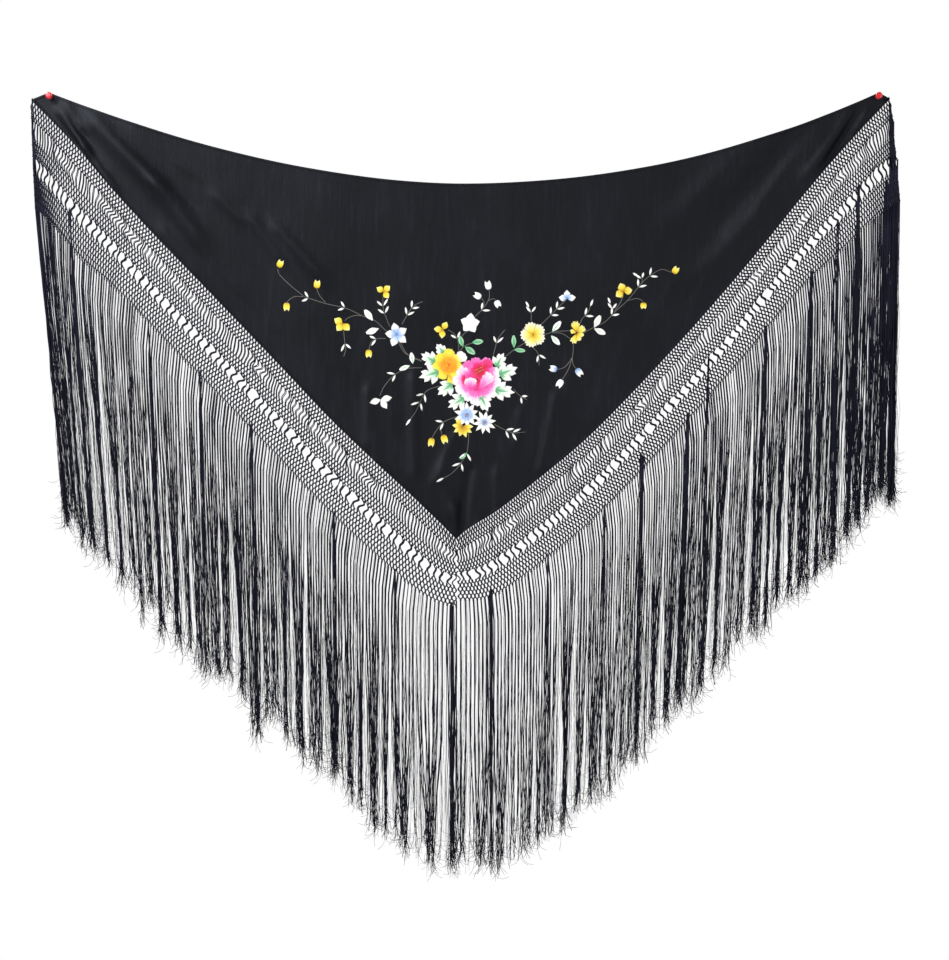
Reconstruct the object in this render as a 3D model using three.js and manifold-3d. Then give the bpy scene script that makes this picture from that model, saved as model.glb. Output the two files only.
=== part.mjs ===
// A fringed triangular shawl held on a wall by a push pin near each upper corner.
// Millimetres, +X to the right, +Y into the wall, +Z up. The wall's face is y = 0 and the origin
// is where the left pin's needle enters it. The cloth faces -Y.
//
// The cloth is half a square, cut from corner to corner. Its long side hangs between the pins in
// a shallow sag, and a knotted net follows its two short sides. The fringe hangs from the net.

import * as THREE from 'three';
import { mergeVertices } from 'three/addons/utils/BufferGeometryUtils.js';
import Module from 'manifold-3d';

const wasm = await Module();
wasm.setup();

// Driving dimensions of the cloth
const PIN_SPAN = 1449;
const LEFT_TIP = { x: -33, z: -6.5 };
const RIGHT_TIP = { x: 1470, z: -4.5 };
const APEX = { x: 711, z: -774.5 };
const HEM_ABOVE_PIN = 6;
const SAG = { x: 717, depth: 153.5, leftPower: 1.78, rightPower: 2.1 };
const TIP_DROOP_POWER = 1.2;
const CLOTH_WALL = 1.3;
const SEAM_GAP = 0.3;
const SEAM_SLACK = 0.15;
const SLOPING_SEAM_DROP = SEAM_GAP * Math.SQRT2 + SEAM_SLACK;

// How far each short side bellies out below a straight line from its tip to the apex
const LEG_BULGE = table(['along', 'left', 'right'], [
  [0.0, 0, 0],
  [0.1, -1, 3],
  [0.2, 9, 14],
  [0.3, 13, 31],
  [0.4, 13, 44],
  [0.5, 14, 52],
  [0.6, 15, 56],
  [0.7, 17, 55],
  [0.8, 12, 42],
  [0.9, 4, 24],
  [1.0, 0, 0],
]);

// Distance of the cloth's middle layer from the wall: pressed close and flat under the pins'
// collars, free elsewhere
const STAND_OFF = { atPin: 1.7, hanging: 10, pressed: 13, reach: 170, foldFull: 40 };
const LEAST_STAND_OFF = 1.7;
const STEEPEST_THICKENING = 1.7;

// The main folds, a row each: the crest's two ends, how far it stands out from the wall (or sinks
// towards it, when negative), and its half width
const FOLDS = table(['x0', 'z0', 'x1', 'z1', 'out', 'half'], [
  [5, -12, 68, -96, 7, 7],
  [19, -19, 63, -92, 6, 6],
  [32, -19, 52, -50, 5, 10],
  [66, -93, 112, -160, 6, 9],
  [88, -54, 182, -149, 10, 22],
  [196, -166, 250, -236, 9, 20],
  [205, -242, 256, -306, 4, 14],
  [298, -180, 330, -210, 4, 13],
  [360, -224, 396, -276, 5, 14],
  [404, -238, 466, -306, 6, 15],
  [1417, -24, 1356, -120, -6, 8],
  [1430, -28, 1372, -118, 6, 7],
  [1398, -32, 1330, -128, 6, 12],
  [1309, -67, 1168, -224, -7, 26],
  [1250, -66, 1120, -190, 6, 30],
  [1238, -210, 1160, -292, 5, 22],
  [557, -522, 557, -606, 6, 10],
  [571, -600, 571, -642, 5, 8],
  [637, -500, 637, -656, 8, 11],
  [706, -600, 678, -668, 5, 10],
  [694, -668, 702, -726, 7, 16],
  [733, -655, 721, -752, -7, 9],
  [708, -722, 709, -776, 6, 8],
  [783, -664, 783, -724, 6, 10],
  [822, -560, 818, -600, 5, 9],
  [884, -532, 862, -646, 5, 10],
]);

// A fold's cross-section is a bell, this sharp, that ends this many half widths from its crest
const FOLD_BELL = { sharpness: 1.4, end: 2 };
const SLOPE_STEP = 1.5;

// Long shallow waves that run down the whole cloth
const WAVES = table(['length', 'height', 'phase', 'slant'], [
  [410, 1.6, 0.4, 0.18],
  [173, 0.8, 2.1, -0.12],
]);

// How finely the cloth is divided: its half square is halved again and again, and most finely
// where the pins' collars press on it
const CELLS = 128;
const EDGE_STATIONS = 32;
const SAME_POINT = 1e-4;
const COARSEST_LEG = 8;
const FINEST_LEG = 1.5;
const FLATTENING = { anywhere: 1, underPin: 0.04, underPinReach: 18 };
const INNER_SAMPLES = [[0.25, 0.25], [0.5, 0.25], [0.25, 0.5], [0.33, 0.33], [0.5, 0.5]];

// The knotted net: its drop below the cloth's short sides, and how it rounds under the apex
const NET_WALL = 1.5;
const NET_DROP = { left: 165, right: 154, extraAtTip: 24, extraReach: 60 };
const NET_ROUND = { radius: 56, slope: 0.85, power: 3 };
const NET_SWING = { left: 7, right: -19, reach: 70 };
const NET_REPEATS = 67;
const APEX_CALM = 45;

// Lines across the net, a row each: the share of the drop, and the threads' lean towards the apex
const NET_LINES = table(['share', 'lean'], [
  [0.0, 0],
  [0.17, -1],
  [0.36, 4],
  [0.52, 4],
  [0.7, -3],
  [1.0, 0],
]);

// The two open bands between those lines, and what share of each repeat is open in them
const OPEN_BANDS = table(['line', 'from', 'to'], [
  [1, 0.3, 0.7],
  [3, 0.15, 0.85],
]);

// The fringe: locks hanging from narrow knotted strips, several strips along each side
const STRIPS_PER_SIDE = 6;
const LOCKS_PER_STRIP = 19;
const STRIP_SEGMENTS = 5;
const STRIP = { height: 5, wall: 4 };
const LOCK = { sides: 3, radius: 1.7, rootDepth: 2.5, ragged: 14, stray: 0.7, spread: 4, driftPower: 1.2 };
const SEED = { first: 71, perStrip: 13, rightSide: 5 };
const LOCK_RINGS = table(['down', 'size'], [
  [0.0, 1.0],
  [0.6, 0.9],
]);

// Fringe length and how far its ends drift sideways, by where the lock starts
const FRINGE_HANG = table(['x', 'length', 'drift'], [
  [-33, 520, 51],
  [20, 530, 44],
  [87, 528, 36],
  [175, 512, 25],
  [281, 492, 16],
  [437, 476, 7],
  [711, 468, 0],
  [937, 484, -10],
  [1047, 498, -15],
  [1170, 502, -21],
  [1262, 506, -18],
  [1362, 518, -15],
  [1413, 524, -13],
  [1489, 505, -10],
]);

// The push pins: a needle, a collar that presses on the cloth, a waist and a flat button
const NEEDLE = { radius: 0.6, inWall: 9, point: 2.5, clearance: 0.3 };
const NEEDLE_HOLE = { length: 40, sides: 8 };
const PIN_SIDES = 12;
const PIN_PROFILE = table(['radius', 'fromCloth'], [
  [5.2, 0],
  [5.2, 1.2],
  [3.4, 2.6],
  [3.0, 6.5],
  [3.6, 9.5],
  [5.8, 10.5],
  [5.8, 12.2],
  [4.6, 13],
]);

const CLOTH_BLACK = new THREE.MeshStandardMaterial({ color: 0x1d1d24, roughness: 0.62, metalness: 0 });
const NET_BLACK = new THREE.MeshStandardMaterial({ color: 0x17171f, roughness: 0.7, metalness: 0 });
const FRINGE_BLACK = new THREE.MeshStandardMaterial({ color: 0x1a1a24, roughness: 0.6, metalness: 0 });
const PIN_RED = new THREE.MeshStandardMaterial({ color: 0xd8141a, roughness: 0.3, metalness: 0 });

// Turns rows of numbers into objects with named columns.
function table(columns, rows) {
  return rows.map((row) => Object.fromEntries(columns.map((column, i) => [column, row[i]])));
}

// Reads a column of a table at a place between its rows, along a smooth curve.
function readTable(rows, key, column, at) {
  const last = rows.length - 1;
  if (at <= rows[0][key]) return rows[0][column];
  if (at >= rows[last][key]) return rows[last][column];
  const i = rows.findIndex((row, k) => k < last && at <= rows[k + 1][key]);
  const width = rows[i + 1][key] - rows[i][key];
  const t = (at - rows[i][key]) / width;
  const slope = (k) => {
    if (k === 0 || k === last) return 0;
    return (rows[k + 1][column] - rows[k - 1][column]) / (rows[k + 1][key] - rows[k - 1][key]);
  };
  const [a, b, ma, mb] = [rows[i][column], rows[i + 1][column], slope(i) * width, slope(i + 1) * width];
  return a + t * (ma + t * (3 * (b - a) - 2 * ma - mb + t * (2 * (a - b) + ma + mb)));
}

function ease(t) {
  const c = Math.min(1, Math.max(0, t));
  return c * c * (3 - 2 * c);
}

function mix(a, b, t) {
  return a + (b - a) * t;
}

// A repeatable sequence of numbers from 0 to 1.
function shuffler(seed) {
  let state = seed;
  return () => {
    state = (state * 1664525 + 1013904223) % 4294967296;
    return state / 4294967296;
  };
}

// Height of the sagging upper edge, and of the cloth's two corners outside the pins.
function upperEdge(x) {
  if (x < 0 || x > PIN_SPAN) {
    const tip = x < 0 ? LEFT_TIP : RIGHT_TIP;
    const pin = x < 0 ? 0 : PIN_SPAN;
    const outwards = Math.min(1, (x - pin) / (tip.x - pin));
    return mix(HEM_ABOVE_PIN, tip.z, outwards ** TIP_DROOP_POWER);
  }
  const onLeft = x < SAG.x;
  const reach = onLeft ? SAG.x : PIN_SPAN - SAG.x;
  const rise = (Math.abs(x - SAG.x) / reach) ** (onLeft ? SAG.leftPower : SAG.rightPower);
  return mix(-SAG.depth, HEM_ABOVE_PIN, rise);
}

// Height of the cloth's lower edge, from either tip down to the apex.
function lowerEdge(x) {
  const side = x < APEX.x ? 'left' : 'right';
  const tip = side === 'left' ? LEFT_TIP : RIGHT_TIP;
  const along = Math.min(1, Math.max(0, (x - tip.x) / (APEX.x - tip.x)));
  return mix(tip.z, APEX.z, along) - readTable(LEG_BULGE, 'along', side, along);
}

// What one fold adds at a point: a soft bell across the crest that fades out at both ends.
function foldOut(fold, x, z) {
  const [dx, dz] = [fold.x1 - fold.x0, fold.z1 - fold.z0];
  const length = Math.hypot(dx, dz);
  const along = ((x - fold.x0) * dx + (z - fold.z0) * dz) / length;
  const across = ((x - fold.x0) * dz - (z - fold.z0) * dx) / length / fold.half;
  const past = Math.max(0, -along, along - length) / (2 * fold.half);
  if (Math.abs(across) > FOLD_BELL.end || past > FOLD_BELL.end) return 0;
  return fold.out * Math.exp(-FOLD_BELL.sharpness * (across * across + past * past));
}

function pinDistance(x, z) {
  return Math.min(Math.hypot(x, z), Math.hypot(x - PIN_SPAN, z));
}

// Y of the middle layer of the cloth, net or fringe at a point of the hanging shawl.
function depth(x, z) {
  const fromPin = pinDistance(x, z);
  const off = (reach) => ease((fromPin - STAND_OFF.pressed) / (reach - STAND_OFF.pressed));
  const room = mix(STAND_OFF.atPin, STAND_OFF.hanging, off(STAND_OFF.reach));
  const freedom = off(STAND_OFF.foldFull);
  let out = 0;
  for (const fold of FOLDS) out += foldOut(fold, x, z);
  for (const wave of WAVES) {
    const turn = (2 * Math.PI * (x + wave.slant * z)) / wave.length + wave.phase;
    out += wave.height * Math.sin(turn) * off(STAND_OFF.reach);
  }
  return -Math.max(LEAST_STAND_OFF, room + freedom * out);
}

// How much a wall that is measured along Y grows where the cloth stands at a slant.
function slant(x, z) {
  const step = SLOPE_STEP;
  const gx = (depth(x + step, z) - depth(x - step, z)) / (2 * step);
  const gz = (depth(x, z + step) - depth(x, z - step)) / (2 * step);
  return Math.min(STEEPEST_THICKENING, Math.hypot(1, gx, gz));
}

// Turns a flat sheet of triangles, counter-clockwise from the front, into a closed wall.
// Each point has x, z and y, and the wall's sides follow every open edge of the sheet.
function wallFrom(points, triangles, thickness) {
  const count = points.length;
  const half = (p) => (thickness * slant(p.x, p.z)) / 2;
  const front = points.flatMap((p) => [p.x, p.y - half(p), p.z]);
  const back = points.flatMap((p) => [p.x, p.y + half(p), p.z]);
  const index = triangles.flatMap(([a, b, c]) => [a, b, c, c + count, b + count, a + count]);
  const used = new Set(triangles.flatMap(([a, b, c]) => [`${a},${b}`, `${b},${c}`, `${c},${a}`]));
  for (const edge of used) {
    const [a, b] = edge.split(',').map(Number);
    if (!used.has(`${b},${a}`)) index.push(b, a, a + count, b, a + count, b + count);
  }
  return fromArrays([...front, ...back], index);
}

function fromArrays(positions, index) {
  const geometry = new THREE.BufferGeometry();
  geometry.setAttribute('position', new THREE.Float32BufferAttribute(positions, 3));
  geometry.setIndex(index);
  return geometry;
}

function toSolid(geometry) {
  const bare = geometry.clone();
  bare.deleteAttribute('normal');
  bare.deleteAttribute('uv');
  const merged = mergeVertices(bare, SAME_POINT);
  const vertProperties = new Float32Array(merged.attributes.position.array);
  const triVerts = new Uint32Array(merged.index.array);
  return new wasm.Manifold(new wasm.Mesh({ numProp: 3, vertProperties, triVerts }));
}

function toGeometry(solid) {
  const mesh = solid.getMesh();
  return fromArrays(Array.from(mesh.vertProperties), Array.from(mesh.triVerts));
}

// Where a point of the flat half square hangs. across runs 0 to 2 along the long side, and down
// runs 0 to 1 from it to the corner opposite.
function hangPoint(across, down) {
  const x = across < 1 ? mix(LEFT_TIP.x, APEX.x, across) : mix(APEX.x, RIGHT_TIP.x, across - 1);
  const fullDepth = 1 - Math.abs(across - 1);
  const share = fullDepth > 0 ? down / fullDepth : 0;
  const z = mix(upperEdge(x), lowerEdge(x), share);
  return { x, z, y: depth(x, z) };
}

// Whether a flat triangle would iron out a fold: its own plane misses the cloth by too much.
function flattens(corners) {
  const [a, b, c] = corners.map(([s, d]) => hangPoint(s / CELLS, d / CELLS));
  return INNER_SAMPLES.some(([u, v]) => {
    const w = 1 - u - v;
    const [x, z] = ['x', 'z'].map((key) => w * a[key] + u * b[key] + v * c[key]);
    const near = pinDistance(x, z) < FLATTENING.underPinReach;
    const allowed = near ? FLATTENING.underPin : FLATTENING.anywhere;
    return Math.abs(w * a.y + u * b.y + v * c.y - depth(x, z)) > allowed;
  });
}

// Whether a flat triangle has an edge on a short side that is longer than the seam's own steps.
function coarseAtSeam(corners) {
  const longest = (CELLS * Math.SQRT2) / EDGE_STATIONS + SAME_POINT;
  return corners.some((p, i) => {
    const q = corners[(i + 1) % 3];
    const atSeam = [p, q].every(([s, d]) => d === CELLS - Math.abs(s - CELLS));
    return atSeam && Math.hypot(p[0] - q[0], p[1] - q[1]) > longest;
  });
}

// Halves the flat triangle at its long side, again and again, finest where the folds are.
// A triangle is [end, end, right-angled corner], and a neighbour is halved whenever it must be.
function divideCloth() {
  const key = ([s, d]) => `${s},${d}`;
  const middle = (p, q) => [(p[0] + q[0]) / 2, (p[1] + q[1]) / 2];
  const legLength = ([a, , c]) => Math.hypot(a[0] - c[0], a[1] - c[1]);
  let leaves = [[[2 * CELLS, 0], [0, 0], [CELLS, CELLS]]];
  const made = new Set(leaves[0].map(key));
  for (let changed = true; changed;) {
    changed = false;
    const next = [];
    for (const leaf of leaves) {
      const [a, b, c] = leaf;
      const leg = legLength(leaf);
      const split = [middle(a, b), middle(b, c), middle(c, a)].some((m) => made.has(key(m)))
        || leg > COARSEST_LEG
        || coarseAtSeam(leaf)
        || (leg > FINEST_LEG && flattens(leaf));
      if (!split) {
        next.push(leaf);
        continue;
      }
      const m = middle(a, b);
      made.add(key(m));
      next.push([c, a, m], [b, c, m]);
      changed = true;
    }
    leaves = next;
  }
  return leaves;
}

// The cloth itself, with a hole for each pin's needle.
function clothPanel() {
  const leaves = divideCloth();
  const places = new Map();
  const points = [];
  const indexOf = ([s, d]) => {
    const key = `${s},${d}`;
    if (!places.has(key)) {
      places.set(key, points.length);
      points.push(hangPoint(s / CELLS, d / CELLS));
    }
    return places.get(key);
  };
  const triangles = leaves.map((leaf) => leaf.map(indexOf));
  let solid = toSolid(wallFrom(points, triangles, CLOTH_WALL));
  for (const x of [0, PIN_SPAN]) {
    const radius = NEEDLE.radius + NEEDLE.clearance;
    const hole = new THREE.CylinderGeometry(radius, radius, NEEDLE_HOLE.length, NEEDLE_HOLE.sides);
    hole.translate(x, 0, 0);
    solid = solid.subtract(toSolid(hole));
  }
  return toGeometry(solid);
}

// Where a thread of the net that starts at x on the cloth's edge is, a share of the way down.
function netPoint(side, x, share) {
  const tip = side === 'left' ? LEFT_TIP : RIGHT_TIP;
  const inwards = Math.sign(APEX.x - tip.x);
  const fromTip = Math.abs(x - tip.x);
  const fromApex = Math.abs(x - APEX.x);
  const drop = NET_DROP[side] + NET_DROP.extraAtTip * Math.exp(-fromTip / NET_DROP.extraReach);
  const radius = share * NET_ROUND.radius;
  const round = (fromApex ** NET_ROUND.power + radius ** NET_ROUND.power) ** (1 / NET_ROUND.power);
  const lift = NET_ROUND.slope * (round - fromApex);
  const lean = readTable(NET_LINES, 'share', 'lean', share) * ease(fromApex / APEX_CALM)
    * ease(fromTip / APEX_CALM);
  const swing = NET_SWING[side] * share * Math.exp(-fromTip / NET_SWING.reach);
  const px = x + inwards * (lean + swing);
  const pz = lowerEdge(x) - SLOPING_SEAM_DROP - share * drop + lift;
  return { x: px, z: pz, y: depth(px, pz) };
}

// Places along one side, from its outer end to the apex, as shares from 0 to 1.
function sideX(side, along) {
  const tip = side === 'left' ? LEFT_TIP : RIGHT_TIP;
  const inner = APEX.x - Math.sign(APEX.x - tip.x) * (SEAM_GAP / 2);
  return mix(tip.x, inner, along);
}

function evenStations(count) {
  return Array.from({ length: count + 1 }, (_, i) => i / count);
}

// One side's net: closed knotted bands with two open bands between them.
function netWall(side) {
  const points = [];
  const triangles = [];
  const onLeft = side === 'left';
  const push = (a, b, c) => triangles.push(onLeft ? [a, b, c] : [c, b, a]);
  const band = new Map(OPEN_BANDS.flatMap((open) => [[open.line, open], [open.line + 1, open]]));
  const lines = NET_LINES.map(({ share }, i) => {
    let stations = evenStations(EDGE_STATIONS);
    if (i === NET_LINES.length - 1) stations = evenStations(STRIPS_PER_SIDE * STRIP_SEGMENTS);
    if (band.has(i)) {
      const open = band.get(i);
      const cuts = evenStations(NET_REPEATS).slice(0, -1);
      stations = [0, ...cuts.flatMap((c) => [c + open.from / NET_REPEATS, c + open.to / NET_REPEATS]), 1];
    }
    return stations.map((along) => {
      points.push(netPoint(side, sideX(side, along), share));
      return { along, index: points.length - 1 };
    });
  });
  for (let i = 0; i + 1 < lines.length; i += 1) {
    const [upper, lower] = [lines[i], lines[i + 1]];
    if (OPEN_BANDS.some((open) => open.line === i)) {
      for (let k = 0; k + 1 < upper.length; k += 2) {
        push(upper[k].index, lower[k].index, lower[k + 1].index);
        push(upper[k].index, lower[k + 1].index, upper[k + 1].index);
      }
      continue;
    }
    let [u, l] = [0, 0];
    while (u + 1 < upper.length || l + 1 < lower.length) {
      const upperNext = u + 1 < upper.length ? upper[u + 1].along : Infinity;
      const lowerNext = l + 1 < lower.length ? lower[l + 1].along : Infinity;
      if (upperNext <= lowerNext) {
        push(upper[u].index, lower[l].index, upper[u + 1].index);
        u += 1;
      } else {
        push(upper[u].index, lower[l].index, lower[l + 1].index);
        l += 1;
      }
    }
  }
  return wallFrom(points, triangles, NET_WALL);
}

// A closed prism through rings of points, its last ring drawn to one point.
function lockSolid(rings, end) {
  const sides = rings[0].length;
  const positions = [...rings.flat(), end].flatMap((p) => [p.x, p.y, p.z]);
  const tipIndex = rings.length * sides;
  const index = [];
  for (let k = 1; k + 1 < sides; k += 1) index.push(0, k, k + 1);
  for (let r = 0; r < rings.length; r += 1) {
    for (let k = 0; k < sides; k += 1) {
      const [a, b] = [r * sides + k, r * sides + ((k + 1) % sides)];
      if (r + 1 < rings.length) index.push(a, a + sides, b, b, a + sides, b + sides);
      else index.push(a, tipIndex, b);
    }
  }
  return fromArrays(positions, index);
}

// One hanging lock, from inside its strip to its ragged end.
function lock(side, along, random) {
  const root = netPoint(side, sideX(side, along), 1);
  const [length, drift] = ['length', 'drift'].map((column) => readTable(FRINGE_HANG, 'x', column, root.x));
  const reach = length + LOCK.ragged * (random() - 0.5);
  const stray = LOCK.stray * (random() - 0.5) * 2;
  const spread = LOCK.spread * (random() - 0.5) * 2;
  const at = (down) => {
    const drawn = ease(down) * down;
    return {
      x: root.x + drift * down ** LOCK.driftPower + stray * Math.sin(Math.PI * down),
      y: root.y - spread * drawn,
      z: root.z - SLOPING_SEAM_DROP - LOCK.rootDepth - reach * down,
    };
  };
  const rings = LOCK_RINGS.map(({ down, size }) => {
    const centre = at(down);
    return Array.from({ length: LOCK.sides }, (_, k) => {
      const turn = (2 * Math.PI * k) / LOCK.sides;
      return {
        x: centre.x + LOCK.radius * size * Math.cos(turn),
        y: centre.y + LOCK.radius * size * Math.sin(turn),
        z: centre.z,
      };
    });
  });
  return lockSolid(rings, at(1));
}

// A narrow strip of knots under the net, with the locks that hang from it.
function fringeStrip(side, number) {
  const random = shuffler(SEED.first + number * SEED.perStrip + (side === 'left' ? 0 : SEED.rightSide));
  const first = number / STRIPS_PER_SIDE;
  const width = 1 / STRIPS_PER_SIDE;
  const inset = SEAM_GAP / 2 / Math.abs(sideX(side, 1) - sideX(side, 0));
  const stations = evenStations(STRIP_SEGMENTS).map((t) => first + mix(inset, width - inset, t));
  const onLeft = side === 'left';
  const positions = [];
  for (const along of stations) {
    const { x, y, z } = netPoint(side, sideX(side, along), 1);
    const [top, bottom] = [z - SLOPING_SEAM_DROP, z - SLOPING_SEAM_DROP - STRIP.height];
    const [near, far] = [y - STRIP.wall / 2, y + STRIP.wall / 2];
    positions.push(x, near, top, x, near, bottom, x, far, bottom, x, far, top);
  }
  const index = [];
  const face = (a, b, c) => (onLeft ? index.push(a, b, c) : index.push(c, b, a));
  for (let s = 0; s + 1 < stations.length; s += 1) {
    for (let k = 0; k < 4; k += 1) {
      const [a, b] = [s * 4 + k, s * 4 + ((k + 1) % 4)];
      face(a, b, b + 4);
      face(a, b + 4, a + 4);
    }
  }
  const end = (stations.length - 1) * 4;
  face(0, 2, 1);
  face(0, 3, 2);
  face(end, end + 1, end + 2);
  face(end, end + 2, end + 3);
  let solid = toSolid(fromArrays(positions, index));
  for (let k = 0; k < LOCKS_PER_STRIP; k += 1) {
    const along = first + (width * (k + 0.5)) / LOCKS_PER_STRIP;
    solid = solid.add(toSolid(lock(side, along, random)));
  }
  return toGeometry(solid);
}

// One pin, turned about its needle: the point is in the wall and the button faces out.
function pushPin() {
  const collarY = -(STAND_OFF.atPin + CLOTH_WALL / 2 + SEAM_GAP);
  const tip = NEEDLE.inWall;
  const profile = [[0, tip], [NEEDLE.radius, tip - NEEDLE.point], [NEEDLE.radius, collarY]];
  for (const { radius, fromCloth } of PIN_PROFILE) profile.push([radius, collarY - fromCloth]);
  profile.push([0, profile.at(-1)[1]]);
  const points = profile.reverse().map(([radius, y]) => new THREE.Vector2(radius, y));
  return new THREE.LatheGeometry(points, PIN_SIDES);
}

const group = new THREE.Group();

function addPiece(name, geometry, material, x = 0) {
  const mesh = new THREE.Mesh(geometry, material);
  mesh.name = name;
  mesh.position.set(x, 0, 0);
  group.add(mesh);
}

addPiece('cloth_panel', clothPanel(), CLOTH_BLACK);
for (const side of ['left', 'right']) {
  addPiece(`net_${side}`, netWall(side), NET_BLACK);
  for (let number = 0; number < STRIPS_PER_SIDE; number += 1) {
    addPiece(`fringe_${side}_${number + 1}`, fringeStrip(side, number), FRINGE_BLACK);
  }
}
addPiece('pin_left', pushPin(), PIN_RED);
addPiece('pin_right', pushPin(), PIN_RED, PIN_SPAN);

export default group;
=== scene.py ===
"""A black fringed triangular shawl, embroidered in the middle, held on a wall by two push pins.

Every size is in millimetres in the shawl's own frame: the origin is where the left pin enters the
wall, +X runs to the right pin, +Y into the wall and +Z up. Meshes are turned to metres when made.
"""

import logging
import math
from dataclasses import dataclass, field
from enum import Enum
from typing import NamedTuple

import bpy
import numpy as np
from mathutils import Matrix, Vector


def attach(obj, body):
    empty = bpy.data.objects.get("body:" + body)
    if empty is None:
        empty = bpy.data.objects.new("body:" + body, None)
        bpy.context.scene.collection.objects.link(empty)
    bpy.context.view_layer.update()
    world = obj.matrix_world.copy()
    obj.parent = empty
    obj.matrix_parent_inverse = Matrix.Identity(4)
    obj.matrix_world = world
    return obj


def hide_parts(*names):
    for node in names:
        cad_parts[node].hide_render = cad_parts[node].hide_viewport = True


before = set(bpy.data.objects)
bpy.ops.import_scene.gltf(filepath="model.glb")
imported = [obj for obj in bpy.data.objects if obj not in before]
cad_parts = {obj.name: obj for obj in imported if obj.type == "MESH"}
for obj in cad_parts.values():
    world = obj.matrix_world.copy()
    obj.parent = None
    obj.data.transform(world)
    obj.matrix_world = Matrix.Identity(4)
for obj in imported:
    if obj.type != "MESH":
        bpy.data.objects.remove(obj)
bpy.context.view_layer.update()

logging.basicConfig(level=logging.INFO, format="%(message)s")
log = logging.getLogger("shawl")

MM = 0.001
THREAD_SIDES = 3
ROOT = "root"
Y_AXIS = np.array([0.0, 1.0, 0.0])
Array = np.ndarray


class Side(Enum):
    """The two short sides of the cloth, named as they hang."""

    LEFT = "left"
    RIGHT = "right"


class Face(Enum):
    """The two faces of the cloth. The value is the way that the face looks along Y."""

    FRONT = -1
    BACK = 1


class Fold(NamedTuple):
    """One soft fold: the crest's two ends, how far it stands out (or sinks), and its half width."""

    x0: float
    z0: float
    x1: float
    z1: float
    out: float
    half: float


class Wave(NamedTuple):
    """One long shallow wave of the hanging cloth."""

    length: float
    height: float
    phase: float
    slant: float


MAIN_FOLDS = (
    Fold(5, -12, 68, -96, 7, 7),
    Fold(19, -19, 63, -92, 6, 6),
    Fold(32, -19, 52, -50, 5, 10),
    Fold(66, -93, 112, -160, 6, 9),
    Fold(88, -54, 182, -149, 10, 22),
    Fold(196, -166, 250, -236, 9, 20),
    Fold(205, -242, 256, -306, 4, 14),
    Fold(298, -180, 330, -210, 4, 13),
    Fold(360, -224, 396, -276, 5, 14),
    Fold(404, -238, 466, -306, 6, 15),
    Fold(1417, -24, 1356, -120, -6, 8),
    Fold(1430, -28, 1372, -118, 6, 7),
    Fold(1398, -32, 1330, -128, 6, 12),
    Fold(1309, -67, 1168, -224, -7, 26),
    Fold(1250, -66, 1120, -190, 6, 30),
    Fold(1238, -210, 1160, -292, 5, 22),
    Fold(557, -522, 557, -606, 6, 10),
    Fold(571, -600, 571, -642, 5, 8),
    Fold(637, -500, 637, -656, 8, 11),
    Fold(706, -600, 678, -668, 5, 10),
    Fold(694, -668, 702, -726, 7, 16),
    Fold(733, -655, 721, -752, -7, 9),
    Fold(708, -722, 709, -776, 6, 8),
    Fold(783, -664, 783, -724, 6, 10),
    Fold(822, -560, 818, -600, 5, 9),
    Fold(884, -532, 862, -646, 5, 10),
)

# Smaller creases that only the thin cloth shows
SMALL_CREASES = (
    Fold(12, -16, 96, -128, -2.6, 3.5),
    Fold(40, -40, 84, -104, -2.2, 3.5),
    Fold(120, -70, 250, -190, -1.6, 9),
    Fold(150, -60, 236, -128, 1.2, 10),
    Fold(232, -120, 318, -176, 1.0, 9),
    Fold(262, -262, 330, -342, 1.6, 7),
    Fold(330, -330, 396, -404, 1.4, 8),
    Fold(420, -330, 452, -392, 1.2, 7),
    Fold(470, -430, 482, -500, 1.4, 6),
    Fold(508, -470, 512, -540, 1.3, 6),
    Fold(596, -560, 600, -640, 1.8, 5),
    Fold(616, -650, 640, -690, 1.6, 5),
    Fold(660, -640, 656, -700, -1.8, 5),
    Fold(742, -560, 736, -640, 1.4, 6),
    Fold(760, -700, 748, -744, 1.6, 5),
    Fold(806, -620, 800, -690, 1.6, 6),
    Fold(842, -640, 836, -690, -1.4, 6),
    Fold(912, -480, 900, -560, 1.3, 7),
    Fold(960, -470, 940, -540, -1.2, 8),
    Fold(1010, -420, 984, -500, 1.3, 8),
    Fold(1090, -330, 1040, -410, 1.2, 9),
    Fold(1150, -300, 1110, -360, -1.2, 8),
    Fold(1290, -120, 1240, -190, 1.6, 9),
    Fold(1372, -60, 1330, -112, -2.0, 5),
    Fold(1404, -70, 1364, -130, 2.0, 4),
)

LONG_WAVES = (Wave(410, 1.6, 0.4, 0.18), Wave(173, 0.8, 2.1, -0.12))
FOLD_STEEPNESS = 1.4
FOLD_CUT = 2.0


def look_up(stations: Array, values: Array, at: Array) -> Array:
    """Reads a short table between its rows along a smooth curve.

    Args:
        stations: The rows' places, rising.
        values: What the table says at each row.
        at: The places to read.

    Returns:
        The values at those places, level past either end of the table.
    """
    stations, values = np.asarray(stations, float), np.asarray(values, float)
    at = np.clip(at, stations[0], stations[-1])
    i = np.clip(np.searchsorted(stations, at, side="right") - 1, 0, len(stations) - 2)
    slopes = np.zeros(len(values))
    slopes[1:-1] = (values[2:] - values[:-2]) / (stations[2:] - stations[:-2])
    width = stations[i + 1] - stations[i]
    t = (at - stations[i]) / width
    a, b, ma, mb = values[i], values[i + 1], slopes[i] * width, slopes[i + 1] * width
    return a + t * (ma + t * (3 * (b - a) - 2 * ma - mb + t * (2 * (a - b) + ma + mb)))


def ease(t: Array) -> Array:
    """Runs smoothly from 0 to 1 as t does, and stays there on either side."""
    c = np.clip(t, 0.0, 1.0)
    return c * c * (3 - 2 * c)


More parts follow.
